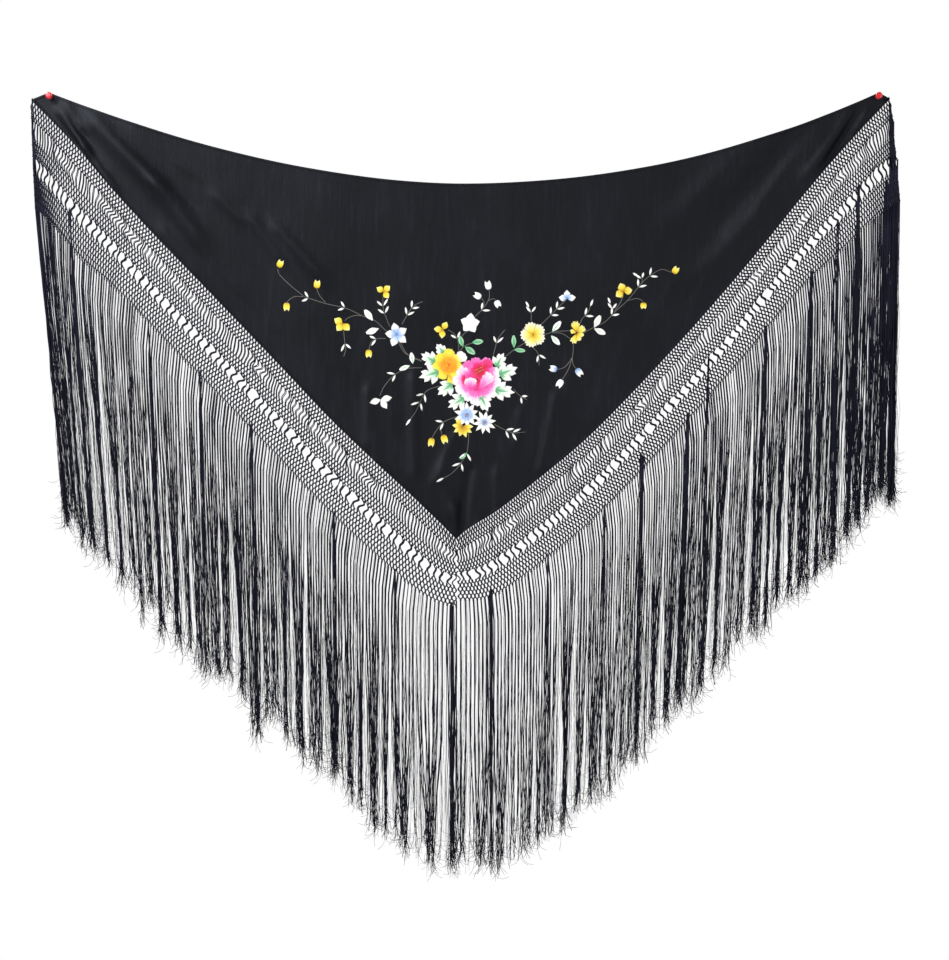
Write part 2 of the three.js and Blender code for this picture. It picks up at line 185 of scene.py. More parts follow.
def wander(rng: np.random.Generator, count: int, step: float) -> Array:
    """A smooth random line.

    Args:
        rng: The source of random numbers.
        count: How many places the line has.
        step: How many places lie between two free values.

    Returns:
        One value for each place, mostly between -1 and 1.
    """
    knots = int(count / step) + 3
    return look_up(np.arange(knots), rng.normal(0, 0.6, knots), np.arange(count) / step)


def path_lengths(route: Array) -> Array:
    """How far along a flat route each of its points is."""
    return np.concatenate([[0], np.cumsum(np.hypot(*np.diff(route, axis=0).T))])


@dataclass(frozen=True)
class HangingForm:
    """The shawl's shape as it hangs: its outline, its folds and the net's mapping."""

    pin_span: float = 1449.0
    left_tip: tuple[float, float] = (-33.0, -6.5)
    right_tip: tuple[float, float] = (1470.0, -4.5)
    apex: tuple[float, float] = (711.0, -774.5)
    hem_above_pin: float = 6.0
    sag_x: float = 717.0
    sag_depth: float = 153.5
    sag_powers: tuple[float, float] = (1.78, 2.1)
    droop_power: float = 1.2
    bulge_left: tuple[float, ...] = (0, -1, 9, 13, 13, 14, 15, 17, 12, 4, 0)
    bulge_right: tuple[float, ...] = (0, 3, 14, 31, 44, 52, 56, 55, 42, 24, 0)
    off_at_pin: float = 1.7
    off_hanging: float = 10.0
    pressed: float = 13.0
    off_reach: float = 170.0
    fold_reach: float = 40.0
    least_off: float = 1.7
    seam_drop: float = 0.57
    net_drop: dict = field(default_factory=lambda: {Side.LEFT: 165.0, Side.RIGHT: 154.0})
    net_swing: dict = field(default_factory=lambda: {Side.LEFT: 9.4, Side.RIGHT: -15.0})
    extra_drop: float = 24.0
    extra_reach: float = 60.0
    swing_reach: float = 70.0
    belly: dict = field(default_factory=lambda: {Side.LEFT: 19.0, Side.RIGHT: 12.0})
    belly_place: float = 84.0
    belly_reach: float = 44.0
    round_radius: float = 56.0
    round_slope: float = 0.85
    round_power: float = 3.0
    lean_shares: tuple[float, ...] = (0.0, 0.17, 0.36, 0.52, 0.7, 1.0)
    leans: tuple[float, ...] = (0.0, 10.0, 15.5, 25.0, 33.0, 51.0)
    net_lean: dict = field(default_factory=lambda: {Side.LEFT: 1.0, Side.RIGHT: 1.2})
    fan_reach: float = 75.0

    def tip(self, side: Side) -> tuple[float, float]:
        """The cloth's outer corner on one side."""
        return self.left_tip if side is Side.LEFT else self.right_tip

    def upper_edge(self, x: Array) -> Array:
        """Height of the sagging upper edge.

        Args:
            x: Places along the edge.

        Returns:
            Z at those places, the drooping corners outside the pins included.
        """
        x = np.asarray(x, float)
        on_left = x < self.sag_x
        reach = np.where(on_left, self.sag_x, self.pin_span - self.sag_x)
        power = np.where(on_left, *self.sag_powers)
        rise = (np.abs(x - self.sag_x) / reach) ** power
        z = -self.sag_depth + (self.hem_above_pin + self.sag_depth) * rise
        for pin, tip in ((0.0, self.left_tip), (self.pin_span, self.right_tip)):
            outwards = np.clip((x - pin) / (tip[0] - pin), 0, 1)
            droop = self.hem_above_pin + (tip[1] - self.hem_above_pin) * outwards**self.droop_power
            z = np.where(outwards > 0, droop, z)
        return z

    def lower_edge(self, x: Array) -> Array:
        """Height of the cloth's lower edge, from either tip down to the apex.

        Args:
            x: Places along the edge.

        Returns:
            Z at those places.
        """
        x = np.asarray(x, float)
        stations = np.linspace(0, 1, len(self.bulge_left))
        result = np.empty_like(x)
        for tip, bulge, here in (
            (self.left_tip, self.bulge_left, x < self.apex[0]),
            (self.right_tip, self.bulge_right, x >= self.apex[0]),
        ):
            along = np.clip((x - tip[0]) / (self.apex[0] - tip[0]), 0, 1)
            line = tip[1] + (self.apex[1] - tip[1]) * along
            result = np.where(here, line - look_up(stations, bulge, along), result)
        return result

    def off(self, x: Array, z: Array, reach: float) -> Array:
        """How free of the pins a point is: 0 under a collar, 1 past the reach."""
        near = np.minimum(np.hypot(x, z), np.hypot(x - self.pin_span, z))
        return ease((near - self.pressed) / (reach - self.pressed))

    def depth(self, x: Array, z: Array) -> Array:
        """Y of the middle layer of the cloth, net or fringe.

        Args:
            x: Places across.
            z: Places up.

        Returns:
            Y at those places, always in front of the wall.
        """
        out = fold_field(MAIN_FOLDS, x, z) * self.off(x, z, self.fold_reach)
        for wave in LONG_WAVES:
            turn = 2 * math.pi * (x + wave.slant * z) / wave.length + wave.phase
            out = out + wave.height * np.sin(turn) * self.off(x, z, self.off_reach)
        room = self.off_at_pin + (self.off_hanging - self.off_at_pin) * self.off(x, z, self.off_reach)
        return -np.maximum(self.least_off, room + out)

    def side_x(self, side: Side, along: Array) -> Array:
        """X of places along one side, as shares from its outer end to the apex."""
        tip = self.tip(side)[0]
        return tip + (self.apex[0] - tip) * np.asarray(along, float)

    def net_point(self, side: Side, x: Array, share: Array) -> Array:
        """Where a net thread that starts at x on the cloth's edge is.

        Args:
            side: The side that the net hangs from.
            x: Where the thread starts along the edge.
            share: How far down the net, from 0 to 1.

        Returns:
            Points as an array whose last axis is x, y, z.
        """
        x, share = np.broadcast_arrays(np.asarray(x, float), np.asarray(share, float))
        tip_x = self.tip(side)[0]
        inwards = math.copysign(1, self.apex[0] - tip_x)
        started = np.abs(x - tip_x)
        fanned = 1 - np.exp(-np.abs(x - self.apex[0]) / self.fan_reach)
        outwards = self.net_lean[side] * look_up(self.lean_shares, self.leans, share) * fanned
        from_tip = started**2 / np.maximum(started + outwards, 1e-6)
        x = tip_x + inwards * from_tip
        from_apex = np.abs(x - self.apex[0])
        drop = self.net_drop[side] + self.extra_drop * np.exp(-from_tip / self.extra_reach)
        drop = drop + self.belly[side] * np.exp(-(((from_tip - self.belly_place) / self.belly_reach) ** 2))
        power = self.round_power
        rounded = (from_apex**power + (share * self.round_radius) ** power) ** (1 / power)
        lift = self.round_slope * (rounded - from_apex)
        px = x + inwards * self.net_swing[side] * share * np.exp(-from_tip / self.swing_reach)
        pz = self.lower_edge(x) - self.seam_drop - share * drop + lift
        return np.stack([px, self.depth(px, pz), pz], axis=-1)


def fold_field(folds: tuple[Fold, ...], x: Array, z: Array) -> Array:
    """Adds up what each fold does at each place.

    Args:
        folds: The folds.
        x: Places across.
        z: Places up.

    Returns:
        How far the cloth stands out at those places.
    """
    out = np.zeros(np.broadcast(x, z).shape)
    for fold in folds:
        dx, dz = fold.x1 - fold.x0, fold.z1 - fold.z0
        length = math.hypot(dx, dz)
        along = ((x - fold.x0) * dx + (z - fold.z0) * dz) / length
        across = ((x - fold.x0) * dz - (z - fold.z0) * dx) / length / fold.half
        past = np.maximum(0, np.maximum(-along, along - length)) / (2 * fold.half)
        bell = np.exp(-FOLD_STEEPNESS * across**2 - FOLD_STEEPNESS * past**2)
        out += np.where((np.abs(across) > FOLD_CUT) | (past > FOLD_CUT), 0, fold.out * bell)
    return out


FORM = HangingForm()


class Batch:
    """Gathers tubes, beads and grids of points, and makes them into one mesh."""

    def __init__(self) -> None:
        """Starts empty."""
        self.points: list[Array] = []
        self.tints: list[Array] = []
        self.quads: list[Array] = []
        self.triangles: list[Array] = []
        self.quad_uvs: list[Array] = []
        self.triangle_uvs: list[Array] = []
        self.count = 0

    def add_points(self, points: Array, tint: Array | None = None) -> int:
        """Adds points.

        Args:
            points: An array whose last axis is x, y, z.
            tint: One colour for each point, or one for all, or None for white.

        Returns:
            The index of the first of them.
        """
        flat = points.reshape(-1, 3)
        colour = np.ones((len(flat), 4))
        if tint is not None:
            colour[:, :3] = np.broadcast_to(tint, points.shape).reshape(-1, 3)
        self.points.append(flat)
        self.tints.append(colour)
        first = self.count
        self.count += len(flat)
        return first

    def add_quads(self, corners: Array, uv: Array | None = None) -> None:
        """Adds four-sided faces, and where they lie on their own flat pattern.

        Args:
            corners: The indices of their points.
            uv: Where each corner lies on the pattern, or None for nowhere in particular.
        """
        corners = corners.reshape(-1, 4)
        self.quads.append(corners)
        self.quad_uvs.append(np.zeros((len(corners), 4, 2)) if uv is None else uv.reshape(-1, 4, 2))

    def add_triangles(self, corners: Array, uv: Array | None = None) -> None:
        """Adds three-sided faces, and where they lie on their own flat pattern.

        Args:
            corners: The indices of their points.
            uv: Where each corner lies on the pattern, or None for nowhere in particular.
        """
        corners = corners.reshape(-1, 3)
        self.triangles.append(corners)
        self.triangle_uvs.append(
            np.zeros((len(corners), 3, 2)) if uv is None else uv.reshape(-1, 3, 2)
        )

    def add_tubes(self, paths: Array, radii: Array) -> None:
        """Adds thin threads along paths, closed at both ends.

        Args:
            paths: An array of threads by points by x, y, z.
            radii: The radius at each point of each thread.
        """
        threads, rings, _ = paths.shape
        radii = np.broadcast_to(radii, (threads, rings))
        steps = np.gradient(paths, axis=1)
        lengths = np.linalg.norm(steps, axis=2)
        tangent = steps / np.maximum(lengths, 1e-9)[..., None]
        sideways = np.cross(tangent, Y_AXIS)
        sideways /= np.maximum(np.linalg.norm(sideways, axis=2), 1e-9)[..., None]
        outward = np.cross(sideways, tangent)
        angles = 2 * math.pi * np.arange(THREAD_SIDES) / THREAD_SIDES + math.pi / 2
        ring = (
            np.cos(angles)[None, None, :, None] * sideways[:, :, None]
            + np.sin(angles)[None, None, :, None] * outward[:, :, None]
        )
        points = paths[:, :, None] + radii[:, :, None, None] * ring
        self.add_sleeves(points, lengths)

    def add_sleeves(self, points: Array, steps: Array, girth: float = 1.0, turned: bool = False) -> None:
        """Joins rings of points into sleeves that are closed at both ends.

        Args:
            points: Sleeves by rings by sides by x, y, z.
            steps: How far each ring of each sleeve is from the one before.
            girth: How far the flat pattern runs in one turn.
            turned: Whether the rings run the other way round.
        """
        sleeves, rings, sides, _ = points.shape
        first = self.add_points(points)
        index = first + np.arange(sleeves * rings * sides).reshape(sleeves, rings, sides)
        after = np.roll(index, -1, axis=2)
        corners = np.stack([index[:, :-1], index[:, 1:], after[:, 1:], after[:, :-1]], axis=-1)
        run = np.concatenate([np.zeros((sleeves, 1)), np.cumsum(steps[:, 1:], axis=1)], axis=1)
        uv = np.zeros(corners.shape + (2,))
        around = girth * np.arange(sides) / sides
        uv[..., 0, 0] = uv[..., 1, 0] = around
        uv[..., 2, 0] = uv[..., 3, 0] = around + girth / sides
        uv[..., 0, 1] = uv[..., 3, 1] = run[:, :-1, None]
        uv[..., 1, 1] = uv[..., 2, 1] = run[:, 1:, None]
        order = slice(None, None, -1) if turned else slice(None)
        self.add_quads(corners[..., order], uv[..., order, :])
        for k in range(1, sides - 1):
            self.add_triangles(index[:, 0][:, [0, k, k + 1]][:, order])
            self.add_triangles(index[:, -1][:, [0, k + 1, k]][:, order])

    def add_beads(self, centres: Array, sizes: Array, tint: Array | None = None,
                  rows: int = 2, segments: int = 6) -> None:
        """Adds small rounded beads or knots.

        Args:
            centres: Their middles.
            sizes: Half sizes along x, y and z, for each or for all.
            tint: One colour for each bead, or None for white.
            rows: How many rings of points a bead has.
            segments: How many points a ring has.
        """
        down = math.pi * np.arange(1, rows + 1) / (rows + 1)
        turn = 2 * math.pi * np.arange(segments) / segments
        ring = np.stack(
            [
                np.outer(np.sin(down), np.cos(turn)),
                np.outer(np.sin(down), np.sin(turn)),
                np.outer(np.cos(down), np.ones(segments)),
            ],
            axis=-1,
        ).reshape(-1, 3)
        unit = np.concatenate([[[0, 0, 1.0]], ring, [[0, 0, -1.0]]])
        sizes = np.broadcast_to(sizes, centres.shape)
        points = centres[:, None] + unit[None] * sizes[:, None]
        colour = None if tint is None else np.broadcast_to(tint[:, None], points.shape)
        first = self.add_points(points, colour)
        base = first + np.arange(len(centres))[:, None] * len(unit)
        here = np.arange(segments)
        after = (here + 1) % segments
        self.add_triangles(np.stack([base + 0 * here, base + 1 + here, base + 1 + after], axis=-1))
        last = 1 + (rows - 1) * segments
        end = len(unit) - 1
        self.add_triangles(
            np.stack([base + end + 0 * here, base + last + after, base + last + here], axis=-1)
        )
        for row in range(rows - 1):
            a, b = 1 + row * segments, 1 + (row + 1) * segments
            self.add_quads(
                np.stack([base + a + here, base + b + here, base + b + after, base + a + after], axis=-1)
            )

    def add_ribbons(self, points: Array, tint: Array, turned: bool) -> None:
        """Adds flat strands that are ridged along their middle.

        Args:
            points: Strands by places along by left, crest and right by x, y, z.
            tint: The colour at each place along.
            turned: Whether the strands lie on the back of the cloth.
        """
        strands, places = points.shape[:2]
        colour = np.broadcast_to(tint[:, :, None], points.shape)
        first = self.add_points(points, colour)
        index = first + np.arange(strands * places * 3).reshape(strands, places, 3)
        a, b = index[:, :-1, :-1], index[:, :-1, 1:]
        c, d = index[:, 1:, 1:], index[:, 1:, :-1]
        corners = np.stack([a, b, c, d], axis=-1)
        uv = np.zeros(corners.shape + (2,))
        across = np.arange(2) * 0.5 + 0.37 * np.arange(strands)[:, None, None]
        steps = np.linalg.norm(np.diff(points[:, :, 1], axis=1), axis=-1)
        run = np.concatenate([np.zeros((strands, 1)), np.cumsum(steps, axis=1)], axis=1)
        uv[..., 0, 0] = uv[..., 3, 0] = across
        uv[..., 1, 0] = uv[..., 2, 0] = across + 0.5
        uv[..., 0, 1] = uv[..., 1, 1] = run[:, :-1, None]
        uv[..., 2, 1] = uv[..., 3, 1] = run[:, 1:, None]
        order = slice(None, None, -1) if turned else slice(None)
        self.add_quads(corners[..., order], uv[..., order, :])

    def make(self, name: str, slot: str, material: bpy.types.Material) -> bpy.types.Object:
        """Makes the piece, rides it on the shawl's one body and gives it its finish.

        Args:
            name: The piece's name.
            slot: The record's material slot. Not used.
            material: The finish.

        Returns:
            The new object.
        """
        points = np.concatenate(self.points) * MM
        quads = np.concatenate(self.quads) if self.quads else np.zeros((0, 4), int)
        triangles = np.concatenate(self.triangles) if self.triangles else np.zeros((0, 3), int)
        loops = np.concatenate([quads.ravel(), triangles.ravel()]).astype(np.int32)
        starts = np.concatenate(
            [np.arange(len(quads)) * 4, len(quads) * 4 + np.arange(len(triangles)) * 3]
        )
        mesh = bpy.data.meshes.new(name)
        mesh.vertices.add(len(points))
        mesh.vertices.foreach_set("co", points.astype(np.float32).ravel())
        mesh.loops.add(len(loops))
        mesh.loops.foreach_set("vertex_index", loops)
        mesh.polygons.add(len(starts))
        mesh.polygons.foreach_set("loop_start", starts.astype(np.int32))
        mesh.polygons.foreach_set("use_smooth", np.ones(len(starts), bool))
        uvs = [u.reshape(-1, 2) for u in self.quad_uvs + self.triangle_uvs]
        layer = mesh.uv_layers.new(name="pattern")
        layer.data.foreach_set("uv", (np.concatenate(uvs) * MM).astype(np.float32).ravel())
        tints = mesh.color_attributes.new(name="tint", type="FLOAT_COLOR", domain="POINT")
        tints.data.foreach_set("color", np.concatenate(self.tints).astype(np.float32).ravel())
        mesh.update(calc_edges=True)
        mesh.materials.append(material)
        piece = bpy.data.objects.new(name, mesh)
        bpy.context.scene.collection.objects.link(piece)
        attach(piece, ROOT)
        size = len(quads) * 2 + len(triangles)
        log.info("%s: %d triangles", name, size)
        return piece


class NodeBoard:
    """A small helper that lays out one material's nodes."""

    ribs_in_unit = 3.18

    def __init__(self, name: str) -> None:
        """Starts a material with an empty board.

        Args:
            name: The material's name.
        """
        self.material = bpy.data.materials.new(name)
        self.material.use_nodes = True
        self.tree = self.material.node_tree
        self.shader = self.tree.nodes["Principled BSDF"]

    def node(self, kind: str, **settings: object) -> bpy.types.Node:
        """Adds a node.

        Args:
            kind: Its type.
            **settings: Its own settings, or values for its named inputs.

        Returns:
            The node.
        """
        node = self.tree.nodes.new(kind)
        for key, value in settings.items():
            if hasattr(node, key):
                setattr(node, key, value)
            else:
                node.inputs[key.replace("_", " ").title()].default_value = value
        return node

    def link(self, source: object, target: object) -> None:
        """Joins an output to an input."""
        self.tree.links.new(source, target)

    def feed(self, **sources: object) -> None:
        """Joins outputs to the shader's own inputs, each named with _ for a space."""
        for key, source in sources.items():
            self.link(source, self.shader.inputs[key.replace("_", " ")])

    def set(self, **values: object) -> None:
        """Sets uniform numbers and colours straight on the shader's own inputs."""
        for key, value in values.items():
            self.shader.inputs[key.replace("_", " ")].default_value = value

    def coordinates(self, kind: str, scale: tuple[float, float, float]) -> object:
        """Surface coordinates, stretched.

        Args:
            kind: "Object" or "UV".
            scale: How many repeats there are in each metre along each axis.

        Returns:
            The output to read them from.
        """
        source = self.node("ShaderNodeTexCoord")
        mapping = self.node("ShaderNodeMapping")
        mapping.inputs["Scale"].default_value = scale
        self.link(source.outputs[kind], mapping.inputs["Vector"])
        return mapping.outputs["Vector"]

    def noise(self, vector: object, detail: float = 2.0, roughness: float = 0.5) -> object:
        """A noise texture read at some coordinates, as one number.

        Args:
            vector: The output that gives the coordinates.
            detail: How many finer layers it has.
            roughness: How strong the finer layers are.

        Returns:
            The number's output.
        """
        texture = self.node("ShaderNodeTexNoise")
        texture.inputs["Scale"].default_value = 1.0
        texture.inputs["Detail"].default_value = detail
        texture.inputs["Roughness"].default_value = roughness
        self.link(vector, texture.inputs["Vector"])
        return texture.outputs["Fac"]

    def ramp(self, value: object, *stops: tuple[float, tuple[float, float, float]]) -> object:
        """Turns a number into a colour.

        Args:
            value: The number's output.
            *stops: Places from 0 to 1, each with its colour.

        Returns:
            The colour's output.
        """
        node = self.node("ShaderNodeValToRGB")
        elements = node.color_ramp.elements
        while len(elements) < len(stops):
            elements.new(0.5)
        for element, (place, colour) in zip(elements, stops):
            element.position = place
            element.color = (*colour, 1)
        self.link(value, node.inputs["Fac"])
        return node.outputs["Color"]

    def span(self, value: object, low: float, high: float) -> object:
        """Stretches a number from 0 to 1 over another range.

        Args:
            value: The number's output.
            low: What 0 becomes.
            high: What 1 becomes.

        Returns:
            The new number's output.
        """
        node = self.node("ShaderNodeMapRange")
        node.inputs["To Min"].default_value = low
        node.inputs["To Max"].default_value = high
        self.link(value, node.inputs["Value"])
        return node.outputs["Result"]

    def bump(self, height: object, distance: float, strength: float, below: object = None) -> object:
        """Adds a layer of relief.

        Args:
            height: The relief's output.
            distance: How deep it is, in metres.
            strength: How strongly it shows.
            below: The relief that it lies on, if any.

        Returns:
            The normal's output.
        """
        node = self.node("ShaderNodeBump")
        node.inputs["Distance"].default_value = distance
        node.inputs["Strength"].default_value = strength
        self.link(height, node.inputs["Height"])
        if below is not None:
            self.link(below, node.inputs["Normal"])
        return node.outputs["Normal"]

    def blend(self, kind: str, factor: float, first: object, second: object) -> object:
        """Mixes two colours.

        Args:
            kind: The way to mix them.
            factor: How much of the second there is.
            first: The first colour's output.
            second: The second colour's output.

        Returns:
            The mixed colour's output.
        """
        node = self.node("ShaderNodeMix", data_type="RGBA", blend_type=kind)
        node.inputs["Factor"].default_value = factor
        # The node lists its colours after its numbers and vectors
        self.link(first, node.inputs[6])
        self.link(second, node.inputs[7])
        return node.outputs[2]

    def wave(self, vector: object, direction: str) -> object:
        """Even ribs along one axis, one for each unit of the coordinates.

        Args:
            vector: The output that gives the coordinates.
            direction: The axis that they follow.

        Returns:
            The height's output.
        """
        node = self.node("ShaderNodeTexWave", wave_type="BANDS", bands_direction=direction)
        node.inputs["Scale"].default_value = 1.0 / self.ribs_in_unit
        node.inputs["Distortion"].default_value = 0.0
        self.link(vector, node.inputs["Vector"])
        return node.outputs["Fac"]


@dataclass(frozen=True)
class CrepeFinish:
    """Black crepe: a fine twisted weave with a soft bluish sheen and painted highlight streaks."""

    dark: tuple[float, float, float] = (0.0027, 0.0023, 0.0031)
    light: tuple[float, float, float] = (0.0053, 0.0048, 0.0068)
    threads_per_metre: float = 1700.0
    streaks_per_metre: tuple[float, float, float] = (150.0, 150.0, 16.0)
    roughness: float = 0.49
    sheen: float = 0.03

    def material(self) -> bpy.types.Material:
        """Builds the nodes.

        Returns:
            The material.
        """
        board = NodeBoard("black_crepe")
        broad = board.noise(board.coordinates("Object", (9, 9, 9)), 3)
        colour = board.ramp(broad, (0.3, self.dark), (0.7, self.light))
        fine = board.noise(board.coordinates("Object", (900, 900, 900)), 2)
        speck = board.ramp(fine, (0.25, (0.72, 0.72, 0.75)), (0.75, (1, 1, 1)))
        streaks = board.noise(board.coordinates("Object", self.streaks_per_metre), 3, 0.62)
        # Painted sheen: where the streak noise is high the colour is lightened up to 1.7 times as highlights
        # along the crinkles, and elsewhere darkened a little
        painted_sheen_streaks = board.ramp(streaks, (0.42, (0.86, 0.86, 0.84)), (0.56, (1.02, 1.02, 1.02)),
                          (0.68, (1.7, 1.7, 1.75)))
        colour = board.blend("MULTIPLY", 1.0, board.blend("MULTIPLY", 1.0, colour, painted_sheen_streaks), speck)
        weave = (self.threads_per_metre,) * 3
        warp = board.wave(board.coordinates("UV", weave), "X")
        weft = board.wave(board.coordinates("UV", weave), "Y")
        crossing = board.node("ShaderNodeMath", operation="MAXIMUM")
        board.link(warp, crossing.inputs[0])
        board.link(weft, crossing.inputs[1])
        crinkle = board.noise(board.coordinates("Object", (60, 60, 14)), 4, 0.6)
        relief = board.bump(crinkle, 0.0012, 0.55)
        relief = board.bump(streaks, 0.001, 0.5, relief)
        relief = board.bump(fine, 0.0003, 0.5, relief)
        relief = board.bump(crossing.outputs[0], 0.0002, 0.35, relief)
        board.feed(Base_Color=colour, Normal=relief,
                   Roughness=board.span(broad, self.roughness - 0.07, self.roughness + 0.07))
        board.set(Sheen_Weight=self.sheen, Sheen_Roughness=0.42, Sheen_Tint=(0.62, 0.68, 1.0, 1),
                  Specular_IOR_Level=0.18, Specular_Tint=(0.78, 0.87, 1.0, 1))
        return board.material


@dataclass(frozen=True)
class ThreadFinish:
    """Black silky thread, twisted from two plies."""

    name: str
    dark: tuple[float, float, float] = (0.0045, 0.0045, 0.0085)
    light: tuple[float, float, float] = (0.0105, 0.0110, 0.0200)
    twists_per_metre: float = 420.0
    roughness: float = 0.5
    sheen: float = 0.02

    def material(self) -> bpy.types.Material:
        """Builds the nodes.

        Returns:
            The material.
        """
        board = NodeBoard(self.name)
        broad = board.noise(board.coordinates("Object", (70, 70, 12)), 3)
        ply = board.wave(board.coordinates("UV", (1 / MM, self.twists_per_metre, 1)), "DIAGONAL")
        fuzz = board.noise(board.coordinates("Object", (1500, 1500, 1500)), 2)
        board.feed(Base_Color=board.ramp(broad, (0.3, self.dark), (0.72, self.light)),
                   Normal=board.bump(fuzz, 0.00015, 0.4, board.bump(ply, 0.0002, 0.5)),
                   Roughness=board.span(broad, self.roughness - 0.08, self.roughness + 0.08))
        board.set(Sheen_Weight=self.sheen, Sheen_Roughness=0.4, Sheen_Tint=(0.7, 0.74, 1.0, 1),
                  Specular_IOR_Level=0.2, Specular_Tint=(0.6, 0.66, 1.0, 1))
        return board.material


@dataclass(frozen=True)
class FlossFinish:
    """Untwisted embroidery silk: glossy along the stitch, its colour painted on each stitch."""

    roughness: float = 0.42
    sheen: float = 0.08

    def material(self) -> bpy.types.Material:
        """Builds the nodes.

        Returns:
            The material.
        """
        board = NodeBoard("embroidery_floss")
        tint = board.node("ShaderNodeVertexColor", layer_name="tint")
        grain = board.noise(board.coordinates("UV", (5200, 300, 1)), 3)
        shade = board.ramp(grain, (0.2, (0.8, 0.8, 0.8)), (0.65, (1, 1, 1)))
        board.feed(Base_Color=board.blend("MULTIPLY", 1.0, tint.outputs["Color"], shade),
                   Normal=board.bump(grain, 0.0002, 0.45),
                   Roughness=board.span(grain, self.roughness - 0.08, self.roughness + 0.1))
        board.set(Sheen_Weight=self.sheen, Sheen_Roughness=0.3, Anisotropic=0.4,
                  Specular_IOR_Level=0.5)
        return board.material


@dataclass(frozen=True)
class PinPlasticFinish:
    """Moulded red plastic, glossy, with faint flow marks."""

    dark: tuple[float, float, float] = (0.46, 0.004, 0.008)
    light: tuple[float, float, float] = (0.68, 0.012, 0.016)

    def material(self) -> bpy.types.Material:
        """Builds the nodes.

        Returns:
            The material.
        """
        board = NodeBoard("red_pin_plastic")
        flow = board.noise(board.coordinates("Object", (220, 90, 220)), 3)
        board.feed(Base_Color=board.ramp(flow, (0.3, self.dark), (0.7, self.light)),
                   Normal=board.bump(flow, 0.0001, 0.15), Roughness=board.span(flow, 0.2, 0.32))
        board.set(Coat_Weight=0.35, Coat_Roughness=0.12)
        return board.material


@dataclass(frozen=True)
class NeedleFinish:
    """Bright drawn steel wire with fine lengthwise marks."""

    colour: tuple[float, float, float] = (0.6, 0.6, 0.62)

    def material(self) -> bpy.types.Material:
        """Builds the nodes.

        Returns:
            The material.
        """
        board = NodeBoard("needle_steel")
        drawn = board.noise(board.coordinates("Object", (3000, 120, 3000)), 2)
        darker = tuple(0.7 * c for c in self.colour)
        board.feed(Base_Color=board.ramp(drawn, (0.3, darker), (0.7, self.colour)),
                   Normal=board.bump(drawn, 0.00005, 0.2), Roughness=board.span(drawn, 0.22, 0.36))
        board.set(Metallic=1.0)
        return board.material


class Lamp(NamedTuple):
    """One square soft lamp: where it stands and how wide it is, in metres, and its power in watts."""

    name: str
    place: tuple[float, float, float]
    width: float
    power: float


LAMPS = (
    Lamp("key", (-1.3, -1.7, 1.3), 1.0, 90),
    Lamp("sheen", (-0.45, -1.5, 0.45), 0.6, 12),
    Lamp("fill", (3.2, -2.8, -0.2), 2.0, 30),
    Lamp("low", (0.7, -2.9, -1.1), 1.2, 5),
    Lamp("rear", (1.8, 2.6, 0.8), 1.8, 60),
)


@dataclass
class Studio:
    """The camera, straight on, with plain soft light and a pale floor far below."""

    photo_centre: tuple[float, float] = (742.9, -671.3)
    photo_height: float = 1680.0
    distance: float = 4500.0
    sensor: float = 36.0
    surround: float = 0.42
    floor_z: float = -2050.0
    floor_front: float = -4200.0
    floor_back: float = 900.0
    floor_half_width: float = 3200.0

    def camera(self) -> None:
        """Makes the camera at the photograph's angle."""
        data = bpy.data.cameras.new("camera")
        data.sensor_width = self.sensor
        data.sensor_fit = "AUTO"
        data.lens = self.sensor * self.distance / self.photo_height
        data.clip_end = 50
        camera = bpy.data.objects.new("camera", data)
        x, z = self.photo_centre
        camera.location = (x * MM, -self.distance * MM, z * MM)
        camera.rotation_euler = (math.pi / 2, 0, 0)
        bpy.context.scene.collection.objects.link(camera)
        bpy.context.scene.camera = camera

    def lights(self) -> None:
        """Adds a bright even surround, a soft key from the upper left and gentle fills."""
        world = bpy.data.worlds.new("white_surround")
        world.use_nodes = True
        nodes, links = world.node_tree.nodes, world.node_tree.links
        seen = nodes["Background"]
        cast = nodes.new("ShaderNodeBackground")
        for background, strength in ((seen, 1.0), (cast, self.surround)):
            background.inputs["Color"].default_value = (1, 1, 1, 1)
            background.inputs["Strength"].default_value = strength
        path, mix = nodes.new("ShaderNodeLightPath"), nodes.new("ShaderNodeMixShader")
        links.new(path.outputs["Is Camera Ray"], mix.inputs[0])
        links.new(cast.outputs[0], mix.inputs[1])
        links.new(seen.outputs[0], mix.inputs[2])
        links.new(mix.outputs[0], nodes["World Output"].inputs[0])
        bpy.context.scene.world = world
        bpy.context.scene.view_settings.view_transform = "Standard"
        middle = Vector((self.photo_centre[0] * MM, 0, self.photo_centre[1] * MM))
        for lamp in LAMPS:
            data = bpy.data.lights.new(lamp.name, "AREA")
            data.size = lamp.width
            data.energy = lamp.power
            stand = bpy.data.objects.new(lamp.name, data)
            stand.location = lamp.place
            stand.rotation_mode = "QUATERNION"
            stand.rotation_quaternion = (middle - Vector(lamp.place)).to_track_quat("-Z", "Y")
            bpy.context.scene.collection.objects.link(stand)

    def floor(self) -> None:
        """Lays the pale floor."""
        middle, half, z = self.photo_centre[0], self.floor_half_width, self.floor_z
        front, back = self.floor_front, self.floor_back
        places = ((-half, front), (half, front), (half, back), (-half, back))
        mesh = bpy.data.meshes.new("floor")
        mesh.from_pydata([((middle + x) * MM, y * MM, z * MM) for x, y in places], [], [(0, 1, 2, 3)])
        board = NodeBoard("pale_floor")
        grain = board.noise(board.coordinates("Object", (3, 3, 3)), 3)
        board.feed(Base_Color=board.ramp(grain, (0.3, (0.78, 0.78, 0.77)), (0.7, (0.82, 0.82, 0.81))))
        board.set(Roughness=0.8)
        mesh.materials.append(board.material)
        floor = bpy.data.objects.new("floor", mesh)
        bpy.context.scene.collection.objects.link(floor)


